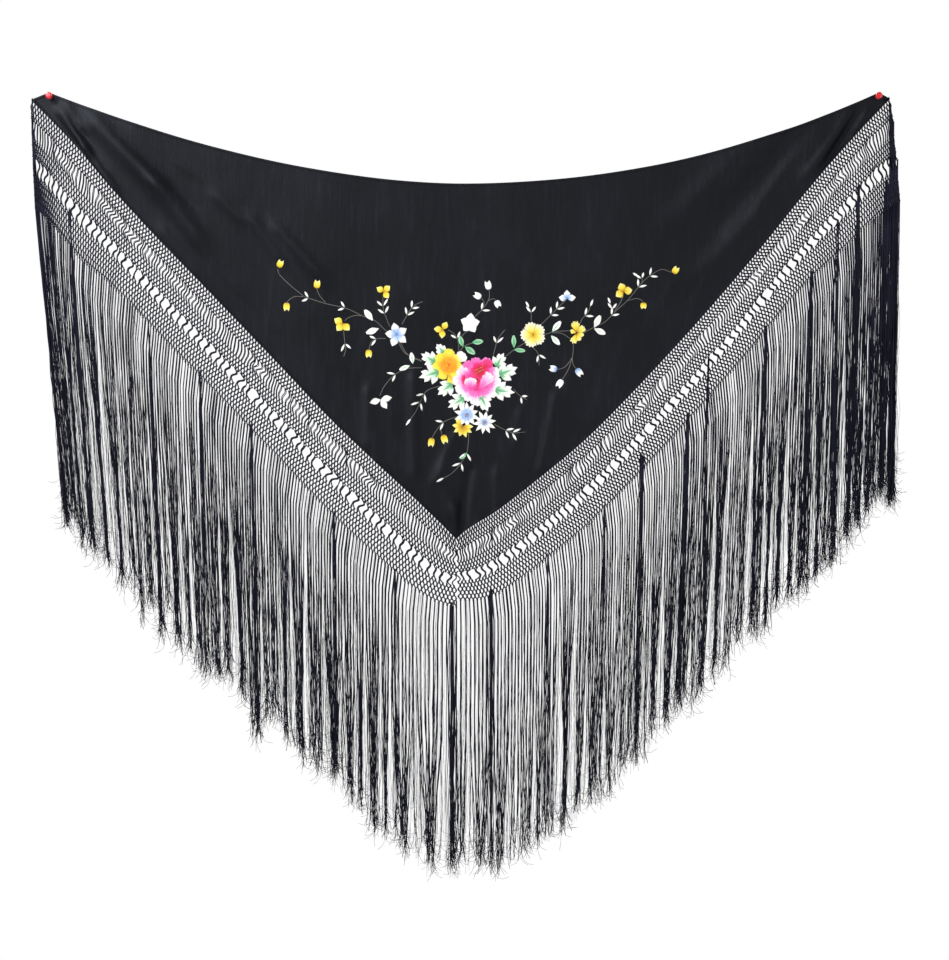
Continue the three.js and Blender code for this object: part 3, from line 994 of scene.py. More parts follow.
@dataclass
class ClothPanel:
    """The triangle of black crepe, half of a square, with its turned and sewn hem."""

    cells: int = 200
    thickness: float = 0.8
    flat_long_side: float = 1524.0
    crinkle_height: float = 0.5
    crinkle_waves: int = 26
    hem_width: float = 5.0
    hem_wall: float = 1.7
    hem_sides: int = 8
    hem_step: float = 5.0
    stitch_pitch: float = 4.2
    stitch_length: float = 2.4
    seed: int = 5
    waves: Array = field(init=False)

    def __post_init__(self) -> None:
        """Draws the fine crinkles once: their lengths, slants, phases and heights."""
        rng = np.random.default_rng(self.seed)
        count = self.crinkle_waves
        self.waves = np.stack(
            [
                rng.uniform(14, 46, count),
                rng.uniform(90, 300, count) * rng.choice([-1, 1], count),
                rng.uniform(0, 2 * math.pi, count),
                rng.uniform(0.4, 1.0, count),
            ],
            axis=1,
        )

    def crinkle(self, x: Array, z: Array) -> Array:
        """The uneven fine ripples that run down the cloth.

        Args:
            x: Places across.
            z: Places up.

        Returns:
            How far the cloth stands out there.
        """
        total = np.zeros(np.broadcast(x, z).shape)
        for across, down, phase, height in self.waves:
            total += height * np.sin(2 * math.pi * (x / across + z / down) + phase)
        patchy = 0.55 + 0.45 * np.sin(x / 83 + 1.3) * np.sin(z / 61 + x / 190)
        lower = 0.35 + 0.65 * ease((-z - 260) / 320)
        strength = self.crinkle_height / math.sqrt(self.crinkle_waves)
        return strength * total * patchy * lower * FORM.off(x, z, FORM.off_reach)

    def middle(self, x: Array, z: Array) -> Array:
        """Y of the cloth's middle layer, with every fold and crinkle."""
        small = fold_field(SMALL_CREASES, x, z) * FORM.off(x, z, FORM.fold_reach)
        return np.minimum(FORM.depth(x, z) - small - self.crinkle(x, z), -FORM.least_off)

    def surface(self, face: Face, x: Array, z: Array, height: Array = 0.0) -> Array:
        """Points on or above one face of the cloth.

        Args:
            face: Which face.
            x: Places across.
            z: Places up.
            height: How far above the face.

        Returns:
            Points as an array whose last axis is x, y, z.
        """
        y = self.middle(x, z) + face.value * (self.thickness / 2 + height)
        return np.stack(np.broadcast_arrays(x, y, z), axis=-1)

    def panel(self, material: bpy.types.Material) -> bpy.types.Object:
        """Builds the cloth as a thin closed shell whose grid follows its threads.

        Args:
            material: The cloth's finish.

        Returns:
            The cloth.
        """
        n = self.cells
        place = -np.ones((n + 1, n + 1), int)
        i, j = np.meshgrid(np.arange(n + 1), np.arange(n + 1), indexing="ij")
        inside = i + j <= n
        place[inside] = np.arange(inside.sum())
        i, j = i[inside], j[inside]
        across, down = 1 + (j - i) / n, 1 - (i + j) / n
        full = 1 - np.abs(across - 1)
        share = np.divide(down, full, out=np.zeros_like(down), where=full > 0)
        tip_left, tip_right, apex = FORM.left_tip[0], FORM.right_tip[0], FORM.apex[0]
        x = np.where(across < 1, tip_left + (apex - tip_left) * across,
                     apex + (tip_right - apex) * (across - 1))
        upper, lower = FORM.upper_edge(x), FORM.lower_edge(x)
        z = upper + (lower - upper) * share
        batch = Batch()
        leg = self.flat_long_side / math.sqrt(2)
        flat = np.stack([i, j], axis=-1) / n * leg
        a, b, c, d = place[:-1, :-1], place[1:, :-1], place[1:, 1:], place[:-1, 1:]
        whole = d.ravel() >= 0
        quads = np.stack([a.ravel(), b.ravel(), c.ravel(), d.ravel()], axis=1)
        quads = quads[whole & (c.ravel() >= 0)]
        halves = np.stack([a.ravel(), b.ravel(), d.ravel()], axis=1)
        halves = halves[(a.ravel() >= 0) & (b.ravel() >= 0) & whole & (c.ravel() < 0)]
        for face in Face:
            first = batch.add_points(self.surface(face, x, z))
            step = -1 if face is Face.FRONT else 1
            batch.add_quads((first + quads)[:, ::step], flat[quads][:, ::step])
            batch.add_triangles((first + halves)[:, ::step], flat[halves][:, ::step])
        count = int(inside.sum())
        for edge in (place[:, 0], place[0, ::-1], place[np.arange(n + 1), n - np.arange(n + 1)][::-1]):
            rim = np.stack([edge[:-1], edge[1:], edge[1:] + count, edge[:-1] + count], axis=1)
            batch.add_quads(rim[:, ::-1])
        return batch.make("cloth", "cloth", material)

    def edges(self) -> list[tuple[Array, Array, float]]:
        """The three edges of the cloth.

        Returns:
            For each edge its x and z, and which way is inwards when walking along it.
        """
        step = self.hem_step
        top_x = np.arange(FORM.left_tip[0] + 1, FORM.right_tip[0], step)
        left_x = np.arange(FORM.left_tip[0] + 1, FORM.apex[0], step * 0.7)
        right_x = np.arange(FORM.apex[0], FORM.right_tip[0], step * 0.7)
        return [
            (top_x, FORM.upper_edge(top_x), 1.0),
            (left_x, FORM.lower_edge(left_x), -1.0),
            (right_x, FORM.lower_edge(right_x), -1.0),
        ]

    def hem(self, material: bpy.types.Material) -> bpy.types.Object:
        """Builds the narrow turned hem round all three edges.

        Args:
            material: The cloth's finish.

        Returns:
            The hem.
        """
        batch = Batch()
        turn = 2 * math.pi * np.arange(self.hem_sides) / self.hem_sides
        for x, z, way in self.edges():
            dx, dz = np.gradient(x), np.gradient(z)
            length = np.hypot(dx, dz)
            inward = np.stack([dz / length, -dx / length], axis=-1) * way
            reach = self.hem_width / 2 * (0.92 + np.cos(turn))
            px = x[:, None] + inward[:, :1] * reach
            pz = z[:, None] + inward[:, 1:] * reach
            wall = self.hem_wall / 2 * np.sin(turn) * (1 + 0.12 * np.sin(x[:, None] / 2.7))
            points = np.stack([px, self.middle(px, pz) + wall, pz], axis=-1)
            batch.add_sleeves(points[None], length[None], girth=self.hem_sides, turned=way > 0)
        return batch.make("cloth_hem", "cloth", material)

    def hem_stitches(self, material: bpy.types.Material) -> bpy.types.Object:
        """Sews the hem down with small slanted stitches on both faces.

        Args:
            material: The thread's finish.

        Returns:
            The stitches.
        """
        batch = Batch()
        for x, z, way in self.edges():
            run = path_lengths(np.stack([x, z], axis=-1))
            at = np.arange(self.stitch_pitch, run[-1] - self.stitch_pitch, self.stitch_pitch)
            sx, sz = np.interp(at, run, x), np.interp(at, run, z)
            ax = np.interp(at + 1, run, x) - sx
            az = np.interp(at + 1, run, z) - sz
            ix, iz = az * way, -ax * way
            for face in Face:
                t = np.linspace(0, 1, 3)[None, :]
                reach = self.hem_width * 0.62 + self.stitch_length * t
                px = sx[:, None] + ix[:, None] * reach + ax[:, None] * 1.4 * t
                pz = sz[:, None] + iz[:, None] * reach + az[:, None] * 1.4 * t
                arch = 0.1 + 0.8 * (1 - t) ** 1.5
                paths = self.surface(face, px, pz, arch)
                batch.add_tubes(paths, np.array([[0.18, 0.26, 0.15]]))
        return batch.make("hem_stitches", "cloth", material)


class Floss(Enum):
    """The silks, each by its colour as it looks on the finished shawl."""

    WHITE = "#fbfbf7"
    IVORY = "#dcdcd6"
    SILVER = "#bfc0bf"
    PEARL = "#d9dde6"
    SKY = "#9dbdf2"
    SLATE = "#5d6f9c"
    CREAM = "#fdf3ae"
    LEMON = "#f9e34a"
    YELLOW = "#f3cc1e"
    GOLD = "#dfa80c"
    OLIVE = "#9a7d14"
    AMBER = "#fdb013"
    ORANGE = "#f98f0c"
    RUST = "#d9650c"
    BLUSH = "#ffd3ee"
    PINK = "#ff7fca"
    MAGENTA = "#f3379a"
    CRIMSON = "#e3144f"
    WINE = "#b00a33"
    MINT = "#b9e3bd"
    LEAF = "#7fc493"
    GREEN = "#4a9a68"
    TWIG = "#6c6a65"

    def paint(self) -> Array:
        """The colour as the linear numbers that a material takes."""
        parts = np.array([int(self.value[k:k + 2], 16) for k in (1, 3, 5)]) / 255
        return np.where(parts > 0.04045, ((parts + 0.055) / 1.055) ** 2.4, parts / 12.92)


@dataclass(frozen=True)
class Shading:
    """How the silks change from the start of a petal to its rim."""

    places: tuple[float, ...]
    silks: tuple[Floss, ...]

    def at(self, place: Array) -> Array:
        """Reads the colours.

        Args:
            place: Places from 0 at the start to 1 at the rim.

        Returns:
            One colour for each place.
        """
        colours = np.array([silk.paint() for silk in self.silks])
        return np.stack([np.interp(place, self.places, colours[:, k]) for k in range(3)], axis=-1)


ROSE_OUTER = Shading((0, 0.4, 0.75, 1), (Floss.ORANGE, Floss.YELLOW, Floss.LEMON, Floss.LEMON))
ROSE_PALE = Shading((0, 0.35, 0.6, 1), (Floss.YELLOW, Floss.CREAM, Floss.WHITE, Floss.WHITE))
ROSE_MIDDLE = Shading((0, 0.6, 1), (Floss.ORANGE, Floss.ORANGE, Floss.YELLOW))
ROSE_INNER = Shading((0, 0.4, 1), (Floss.RUST, Floss.ORANGE, Floss.AMBER))
PEONY_OUTER = Shading((0, 0.3, 0.58, 0.8, 1),
                      (Floss.MAGENTA, Floss.PINK, Floss.BLUSH, Floss.WHITE, Floss.WHITE))
PEONY_TOP = Shading((0, 0.45, 1), (Floss.CRIMSON, Floss.MAGENTA, Floss.PINK))
PEONY_MIDDLE = Shading((0, 0.5, 1), (Floss.CRIMSON, Floss.MAGENTA, Floss.PINK))
PEONY_CUP = Shading((0, 0.45, 0.8, 1), (Floss.MAGENTA, Floss.PINK, Floss.BLUSH, Floss.WHITE))
PEONY_HEART = Shading((0, 0.6, 1), (Floss.WINE, Floss.CRIMSON, Floss.MAGENTA))
DAISY_BLUE = Shading((0, 0.16, 0.44, 0.5, 1), (Floss.SLATE, Floss.SKY, Floss.SKY, Floss.WHITE, Floss.WHITE))
DAISY_WHITE = Shading((0, 0.14, 0.32, 0.4, 1), (Floss.SLATE, Floss.SKY, Floss.SKY, Floss.WHITE, Floss.WHITE))
DAISY_YELLOW = Shading((0, 0.3, 0.65, 1), (Floss.OLIVE, Floss.GOLD, Floss.LEMON, Floss.CREAM))
BLUE_BLOSSOM = Shading((0, 0.2, 0.36, 0.5, 1), (Floss.SLATE, Floss.SKY, Floss.SKY, Floss.WHITE, Floss.WHITE))
WHITE_BLOSSOM = Shading((0, 0.25, 1), (Floss.PEARL, Floss.WHITE, Floss.WHITE))
YELLOW_BLOSSOM = Shading((0, 0.3, 0.6, 1), (Floss.OLIVE, Floss.YELLOW, Floss.LEMON, Floss.CREAM))
CREAM_BLOSSOM = Shading((0, 0.35, 0.75, 1), (Floss.GOLD, Floss.LEMON, Floss.CREAM, Floss.WHITE))
JAGGED_LEAF = Shading((0, 0.3, 0.5, 1), (Floss.LEAF, Floss.MINT, Floss.WHITE, Floss.WHITE))
LEAF_VEIN = Shading((0, 0.6, 1), (Floss.GREEN, Floss.LEAF, Floss.MINT))
GREEN_LEAF = Shading((0, 0.5, 1), (Floss.GREEN, Floss.LEAF, Floss.MINT))
PALE_LEAF = Shading((0, 0.4, 1), (Floss.LEAF, Floss.WHITE, Floss.WHITE))
IVORY_LEAF = Shading((0, 1), (Floss.IVORY, Floss.WHITE))
SPRIG_LEAF = Shading((0, 0.3, 0.8, 1), (Floss.SILVER, Floss.WHITE, Floss.WHITE, Floss.SILVER))


class Bloom(NamedTuple):
    """One simple flower: lens-shaped petals round a point. Angles are in degrees from the right."""

    across: float
    up: float
    reach: float
    angles: tuple[float, ...]
    width: float
    shading: Shading


class Bud(NamedTuple):
    """One closed bud: a few petals side by side, opening towards an angle."""

    across: float
    up: float
    angle: float
    length: float
    shading: Shading


class Leaf(NamedTuple):
    """One leaf with a middle vein, from where it joins its twig."""

    across: float
    up: float
    angle: float
    length: float
    width: float
    shading: Shading


class Twig(NamedTuple):
    """One twig: its route, where pairs of small leaves grow on it, and their length."""

    route: tuple[tuple[float, float], ...]
    pairs: tuple[float, ...] = ()
    leaf: float = 7.0
    end_leaf: bool = False
    shading: Shading = SPRIG_LEAF


FIVE = (90.0, 18.0, -54.0, -126.0, 162.0)

BLOOMS = (
    Bloom(2.5, -47, 10.5, (128, 170, 212, 252, 290, 328, 2), 2.4, DAISY_YELLOW),
    Bloom(24.5, -42.5, 11.5, tuple(range(8, 360, 36)), 1.9, DAISY_WHITE),
    Bloom(7, -35, 12.5, tuple(range(20, 372, 36)), 2.3, DAISY_BLUE),
    Bloom(-63, 45, 12, tuple(a + 14 for a in FIVE), 4.0, BLUE_BLOSSOM),
    Bloom(-117, 56, 9, (150, 232, -45), 3.8, YELLOW_BLOSSOM),
    Bloom(-76, 88, 8, (150, 42, -56), 3.2, YELLOW_BLOSSOM),
    Bloom(-79, -20, 11, (196, 12, -55), 3.2, WHITE_BLOSSOM),
    Bloom(10, 56, 10, tuple(a - 6 for a in FIVE), 4.2, WHITE_BLOSSOM),
    Bloom(-17, 50, 9, (64, 176, 262), 3.2, YELLOW_BLOSSOM),
    Bloom(107, 81, 8.5, (172, 92, 8), 3.2, BLUE_BLOSSOM),
    Bloom(163, 88, 8.5, (112, 10, 214), 4.0, YELLOW_BLOSSOM),
)

BUDS = (
    Bud(-181, 112, 66, 8, YELLOW_BLOSSOM),
    Bud(-173, 77, -90, 8.5, YELLOW_BLOSSOM),
    Bud(-143, 91, 82, 8.5, YELLOW_BLOSSOM),
    Bud(-91, 30, -90, 8, YELLOW_BLOSSOM),
    Bud(29, 90, 102, 9, WHITE_BLOSSOM),
    Bud(21, 82, 152, 8, WHITE_BLOSSOM),
    Bud(36, 79, -64, 7.5, WHITE_BLOSSOM),
    Bud(97, 10, 165, 8, BLUE_BLOSSOM),
    Bud(102, 0, -122, 9, WHITE_BLOSSOM),
    Bud(116, 11, -52, 9, BLUE_BLOSSOM),
    Bud(213, 106, 58, 8, YELLOW_BLOSSOM),
    Bud(183, 77, -88, 6.5, YELLOW_BLOSSOM),
    Bud(-28, -58, -98, 9, YELLOW_BLOSSOM),
    Bud(-17, -55, -72, 9, YELLOW_BLOSSOM),
)

JAGGED_LEAVES = (
    Leaf(-25, 18, 150, 16, 6.5, JAGGED_LEAF),
    Leaf(-21, 8, 197, 21, 7.5, JAGGED_LEAF),
    Leaf(-16.5, 27, 128, 11, 5.5, JAGGED_LEAF),
    Leaf(-8, -4, 218, 18, 6.8, JAGGED_LEAF),
    Leaf(4, -18, 212, 19, 6.2, JAGGED_LEAF),
    Leaf(21, -16, -66, 17, 8, JAGGED_LEAF),
    Leaf(35, -10, -8, 20, 8, JAGGED_LEAF),
    Leaf(39, 5, 22, 20, 8, JAGGED_LEAF),
    Leaf(36, 13, 60, 16, 6.5, JAGGED_LEAF),
)

GREEN_LEAVES = (
    Leaf(3, 33, 108, 10, 2.4, GREEN_LEAF),
    Leaf(12, 37, 8, 10, 2.6, GREEN_LEAF),
    Leaf(5, 33, -36, 11, 2.8, GREEN_LEAF),
    Leaf(54, 32, 92, 11, 2.2, GREEN_LEAF),
    Leaf(54, 30, -6, 10, 2.0, GREEN_LEAF),
    Leaf(-47, 16, 98, 10, 2.4, PALE_LEAF),
    Leaf(-50, 14, 202, 10, 2.2, PALE_LEAF),
    Leaf(92, 48, 50, 12, 2.8, PALE_LEAF),
    Leaf(91, 44, -47, 11, 2.6, PALE_LEAF),
    Leaf(-87, 59, 127, 12, 3.0, IVORY_LEAF),
    Leaf(-81, 51, 200, 12, 3.0, IVORY_LEAF),
    Leaf(134, 52, 64, 12, 3.0, IVORY_LEAF),
    Leaf(134, 51, -26, 11, 2.8, IVORY_LEAF),
    Leaf(7, -73, 222, 8, 1.8, GREEN_LEAF),
)

TWIGS = (
    Twig(((-156, 83), (-134, 76), (-113, 71), (-98, 64), (-85, 59), (-73, 48)), (0.06, 0.47)),
    Twig(((-182, 111), (-180, 105), (-169, 94), (-156, 83.5))),
    Twig(((-173, 77), (-169, 81), (-164, 83), (-156, 83))),
    Twig(((-143, 91), (-140, 84), (-134, 77))),
    Twig(((-115, 59), (-111, 62), (-105, 64), (-98, 64))),
    Twig(((-116, 23), (-114, 30), (-115, 38), (-116, 49)), (0.52,), 7.5),
    Twig(((-77, 82), (-76, 69), (-70, 53)), (0.3, 0.55), 7.5),
    Twig(((-37, 78), (-44, 75), (-50, 69), (-54, 62), (-58, 55)), (0.42, 0.68), 7.0),
    Twig(((-91, 30), (-88, 38), (-82, 41), (-74, 41)), (0.6,), 7.0),
    Twig(((-62, 38), (-54, 26), (-38, 19))),
    Twig(((-60, 38), (-52, 25), (-38, 18))),
    Twig(((-80, -16), (-75, -6), (-65, 5), (-52, 11), (-38, 12)), (0.5,), 8.0),
    Twig(((-49, -39), (-44, -32), (-39, -21), (-33, -11), (-20, -6)), (0.42, 0.62), 8.5, True),
    Twig(((-28, -58), (-23, -50), (-16, -42), (-4, -37)), (0.6,), 7.5),
    Twig(((-18, -55), (-19, -49), (-18, -43))),
    Twig(((-16, -98), (-9, -94), (-1, -86), (6, -75), (8, -66), (9, -52)), (0.42, 0.62), 8.5, True),
    Twig(((66, -52), (54, -53), (45, -50), (39, -47), (34, -44)), (0.42, 0.62), 8.0),
    Twig(((67, -20), (60, -16), (53, -9)), (0.4,), 6.5),
    Twig(((-12, 50), (-6, 46), (-2, 39), (-1, 28)), (0.5,), 7.0),
    Twig(((10, 50), (4, 46), (1, 40), (0, 33))),
    Twig(((29, 92), (29, 81), (23, 71), (15, 63)), (0.74,), 8.0),
    Twig(((21, 82), (24, 78), (23.4, 73))),
    Twig(((36, 79), (33, 81), (28.5, 79))),
    Twig(((0, 29), (5, 34), (13, 37))),
    Twig(((45, 50), (38, 41), (35, 31), (32, 20)), (0.5,), 8.0),
    Twig(((65, 37), (54, 30), (44, 22))),
    Twig(((69, 72), (71, 67), (71, 56)), (0.35,), 7.0, True),
    Twig(((79, 14), (78, 26), (71, 34)), (0.5,), 7.5),
    Twig(((106, 80), (92, 66), (80, 54)), (0.38, 0.6), 7.5),
    Twig(((84, 45), (95, 48), (112, 49))),
    Twig(((92, 47), (102, 46), (110, 41))),
    Twig(((113, 36), (113, 29), (112, 22))),
    Twig(((97, 10), (105, 13), (112, 22))),
    Twig(((102, 0), (108, 10), (112, 22))),
    Twig(((116, 11), (113, 15), (112, 22))),
    Twig(((130, 73), (127, 66), (122, 61), (120, 56)), (0.55,), 7.5, True),
    Twig(((212, 107), (201, 110), (190, 104), (181, 96), (168, 80), (156, 69), (145, 58), (135, 53),
          (122, 46)), (0.22, 0.36, 0.7), 7.5),
    Twig(((163, 84), (160, 77), (154, 68))),
    Twig(((183, 77), (181, 79.5), (176, 81), (168, 79))),
    Twig(((178, 103), (182, 100), (181, 96)), (0.45,), 6.5, True),
    Twig(((150, 76), (152, 70), (151, 64)), (0.5,), 6.5, True),
)


def smooth_path(route: tuple[tuple[float, float], ...], step: float) -> Array:
    """Draws a smooth curve through a few points.

    Args:
        route: The points.
        step: About how far apart the curve's own points are.

    Returns:
        The curve's points.
    """
    given = np.array(route, float)
    given = np.concatenate([2 * given[:1] - given[1:2], given, 2 * given[-1:] - given[-2:-1]])
    parts = []
    for a, b, c, d in zip(given[:-3], given[1:-2], given[2:-1], given[3:]):
        count = max(2, int(np.hypot(*(c - b)) / step))
        t = (np.arange(count) / count)[:, None]
        cubic = 3 * b - a - 3 * c + d
        parts.append(0.5 * (2 * b + (c - a) * t + (2 * a - 5 * b + 4 * c - d) * t**2 + cubic * t**3))
    parts.append(given[-2:-1])
    return np.concatenate(parts)


class Petal(NamedTuple):
    """One wide petal: the point that its stitches fan out from, where it points and how far it reaches.

    Half its opening is in radians. Its stitches start at a share of the reach, in rows that are
    padded by lift, and teeth is the depth of its rim's notches as a share of the reach.
    """

    across: float
    up: float
    angle: float
    reach: float
    spread: float
    shading: Shading
    start: float = 0.25
    lift: float = 0.3
    rows: int = 2
    teeth: float = 0.04
    notches: float = 6.0


class Knot(NamedTuple):
    """One small round knot of silk on top of a flower: its place, size, height and silk."""

    across: float
    up: float
    size: float
    height: float
    silk: Floss


class Lobe(NamedTuple):
    """One lobe or vein of a jagged leaf: its slant in degrees, and the rest as shares of the leaf."""

    start: float
    slant: float
    length: float
    width: float


def ring(petal: Petal, count: int, step: float) -> tuple[Petal, ...]:
    """Repeats a petal round its point, step degrees apart."""
    return tuple(petal._replace(angle=petal.angle + step * k) for k in range(count))


LOBES = (
    Lobe(0.1, 52, 0.6, 0.46),
    Lobe(0.1, -52, 0.6, 0.46),
    Lobe(0.42, 34, 0.46, 0.4),
    Lobe(0.42, -34, 0.46, 0.4),
    Lobe(0.0, 0, 0.98, 0.52),
)
VEINS = (Lobe(0.0, -42, 0.36, 0.14), Lobe(0.0, 42, 0.36, 0.14), Lobe(0.0, 0, 0.7, 0.14))

# The yellow rose: rounded petals in three rings round an orange heart
ROSE = (
    Petal(-5, 17, 42, 13.5, 0.62, ROSE_PALE, 0.2, 0.25, 2, 0.02, 4),
    Petal(-10, 8, -90, 13.5, 0.34, ROSE_OUTER, 0.2),
    *(Petal(-12, 14.5, angle, reach, 0.52, ROSE_OUTER, 0.2, 0.32, 2, 0.015, 5)
      for angle, reach in ((88, 16.5), (140, 15.2), (190, 15.6), (238, 15.4), (300, 13.5), (350, 14.0),
                           (38, 14.2))),
    *ring(Petal(-11.4, 14.5, 40, 9.8, 0.68, ROSE_MIDDLE, 0.12, 0.75, 2, 0.03, 5), 5, 72),
    *ring(Petal(-11, 14.8, 20, 6.6, 0.8, ROSE_INNER, 0.06, 1.1, 1, 0.09), 4, 90),
    *ring(Petal(-10.7, 15.1, 75, 3.6, 0.9, ROSE_INNER, 0.05, 1.4, 1, 0.08), 3, 120),
)

# The pink peony: a pale frilled skirt, then magenta upper petals, two cups and a deep red heart
PEONY_SKIRT = ring(Petal(17, -0.5, 150, 24.3, 0.33, PEONY_OUTER, 0.45, 0.3, 2, 0.012, 4), 9, 29)
PEONY = (
    *(Petal(17, -0.5, angle, reach, 0.33, PEONY_TOP, 0.35, 0.45, 2, 0.015, 4)
      for angle, reach in ((122, 22.0), (94, 22.8), (60, 25.0), (34, 21.5))),
    *ring(Petal(17.5, -0.5, 30, 17, 0.45, PEONY_MIDDLE, 0.04, 0.7, 2, 0.03, 5), 8, 45),
    Petal(17, 0, 180, 15.5, 0.5, PEONY_HEART, 0.74, 0.85, 1, 0.02, 4),
    Petal(16, -1, 268, 10.5, 0.3, PEONY_HEART, 0.7, 0.85, 1, 0.02, 4),
    *ring(Petal(17.5, -0.5, 20, 5, 1.15, PEONY_HEART, 0.02, 0.95, 1, 0.02), 3, 120),
    Petal(9, 2, 122, 11, 0.5, PEONY_CUP, 0.2, 0.95, 2, 0.05, 4),
    Petal(20, 8, 46, 15.5, 0.42, PEONY_HEART, 0.1, 1.0, 2, 0.05, 4),
    *ring(Petal(20, 8.5, 20, 9.5, 0.5, PEONY_HEART, 0.08, 1.1, 2, 0.06, 4), 7, 51.4),
    Petal(11, -10.5, 92, 12.5, 0.78, PEONY_CUP, 0.1, 1.2, 2, 0.02, 4),
    Petal(18.5, -11.5, 56, 21.5, 0.4, PEONY_CUP, 0.1, 1.3, 2, 0.02, 4),
)

# The pale yellow flower with five rounded petals, and the yellow one seen from the side
PALE_FLOWER = tuple(
    Petal(73, 45, angle + 20, 12.3, 0.66, CREAM_BLOSSOM, 0.05, 0.3, 2, 0.05, 5) for angle in FIVE
)
SIDE_FLOWER = tuple(
    Petal(116.5, 46.5, angle, reach, spread, YELLOW_BLOSSOM, 0.1, 0.35, 1, 0.06)
    for angle, reach, spread in ((98, 11.5, 0.5), (38, 9.5, 0.5), (-20, 7.0, 0.5), (-112, 10.5, 0.45),
                                 (160, 6.5, 0.45), (-68, 8.5, 0.4))
)


@dataclass
class Embroidery:
    """Two-sided silk embroidery: a central spray of two big flowers with twigs on both sides.

    Its motifs are placed on a chart whose squares are counted from the chart's own centre.
    """

    cloth: ClothPanel
    centre: tuple[float, float] = (717.5, -496.25)
    square: float = 1.75
    strand: float = 0.95
    overlap: float = 1.45
    ridge: float = 0.2
    rounding: float = 0.22
    cord_pitch: float = 1.5
    cord_overlap: float = 1.7
    seed: int = 23

    def __post_init__(self) -> None:
        """Starts the sequence of random numbers, and the empty lists of strands and knots."""
        self.rng = np.random.default_rng(self.seed)
        self.strands: list[tuple[Array, Array, Array, Array]] = []
        self.knots: list[Knot] = []

    def lay(self, *strand: Array) -> None:
        """Lays a group of strands: their chart places, and height, width and tint at each place."""
        self.strands.append(strand)

    def polar(self, across: float, up: float, angle: Array, reach: Array) -> Array:
        """Chart places at an angle and distance from a point."""
        return np.stack([across + reach * np.cos(angle), up + reach * np.sin(angle)], axis=-1)

    def fan(self, petal: Petal) -> None:
        """Fills a wide petal with long and short stitches that run out to its rim.

        Args:
            petal: The petal.
        """
        start, rows, spread = petal.start, petal.rows, petal.spread
        for row in range(rows):
            low, high = row / rows, (row + 1) / rows
            middle = start + (1 - start) * (low + high) / 2
            arc = 2 * spread * petal.reach * self.square * middle
            count = max(4, int(arc / self.strand))
            u = (np.arange(count) + 0.5) / count * 2 - 1
            u = u + self.rng.normal(0, 0.25 / count, count)
            rim = 1 - self.rounding * np.abs(u) ** 3 + petal.teeth * np.cos(petal.notches * math.pi * u)
            inner = low - (0.12 + 0.16 * self.rng.random(count)) * (row > 0)
            outer = high + 0.14 * self.rng.random(count) * (row + 1 < rows)
            t = np.linspace(0, 1, 4)[None, :]
            v = inner[:, None] + (outer - inner)[:, None] * t
            distance = petal.reach * (start + (1 - start) * v) * (1 + (rim[:, None] - 1) * v)
            angle = math.radians(petal.angle) + spread * u[:, None] + 0 * v
            points = self.polar(petal.across, petal.up, angle, distance)
            dome = np.sqrt(np.clip(1 - u**2, 0.05, 1))[:, None] * (0.55 + 0.45 * np.sin(math.pi * v))
            heights = petal.lift + 0.55 * dome + 0.1 * (rows - row)
            ends = 0.35 + 0.65 * np.sin(math.pi * np.clip(t * 0.9 + 0.08, 0, 1)) ** 0.4
            widths = 2 * spread * distance * self.square / count * self.overlap * ends
            jitter = self.rng.normal(0, 0.07, (count, 1))
            tints = petal.shading.at(np.clip(v + jitter, 0, 1)) * self.lustre(count)
            # Painted shade along the petal's two sides
            self.lay(points, heights, widths, tints * self.painted_petal_edge_shade(u))

    def lustre(self, count: int) -> Array:
        """Small differences in brightness between strands."""
        return self.rng.uniform(0.9, 1.04, (count, 1, 1))

    def painted_petal_edge_shade(self, u: Array) -> Array:
        """Paints shade on the strands along a petal's two sides, where it meets the next one."""
        return (1 - 0.34 * np.abs(u) ** 4)[:, None, None]

    def lens(self, across: float, up: float, angle: float, reach: float, width: float,
             shading: Shading, lift: float = 0.3, point: float = 1.0, blunt: float = 0.75) -> None:
        """Fills a narrow pointed petal or small leaf with stitches along its length.

        Args:
            across: Its start, across the chart.
            up: Its start, up the chart.
            angle: Where it points, in degrees.
            reach: Its length.
            width: Half its width.
            shading: Its silks.
            lift: How high it is padded.
            point: How far towards its start its widest place is, 1 being halfway.
            blunt: How blunt its tip is: 1 is pointed, less is rounder.
        """
        count = max(3, int(2 * width * self.square / self.strand))
        u = (np.arange(count) + 0.5) / count * 2 - 1
        t = np.linspace(0, 1, 6)[None, :]
        ragged = self.rng.uniform(-0.03, 0.03, (count, 1))
        v = np.clip(t * (1 + ragged), 0, 1.02)
        profile = np.sin(math.pi * np.clip(t, 0, 1) ** (1 / point)) ** blunt
        side = u[:, None] * width * profile
        dome = np.sqrt(np.clip(1 - u**2, 0.1, 1))[:, None] * profile
        widths = np.maximum(2 * width * profile * self.square / count * self.overlap, 0.3)
        jitter = self.rng.normal(0, 0.04, (count, 1))
        # Painted shade along the petal's two sides, on top of random strand brightness
        tints = shading.at(np.clip(v + jitter, 0, 1)) * self.lustre(count) * self.painted_petal_edge_shade(u)
        points = self.slanted(across, up, angle, reach * v, side)
        self.lay(points, lift + 0.5 * dome, widths + 0 * side, tints)

    def slanted(self, across: float, up: float, angle: float, along: Array, side: Array) -> Array:
        """Chart places so far along a slanted line from a point, and so far to its left.

        Args:
            across: The point's place across.
            up: The point's place up.
            angle: The line's direction in degrees.
            along: How far along the line.
            side: How far to its left.

        Returns:
            Places as an array whose last axis is across, up.
        """
        turn = math.radians(angle)
        x = across + along * math.cos(turn) - side * math.sin(turn)
        y = up + along * math.sin(turn) + side * math.cos(turn)
        return np.stack([x, y], axis=-1)

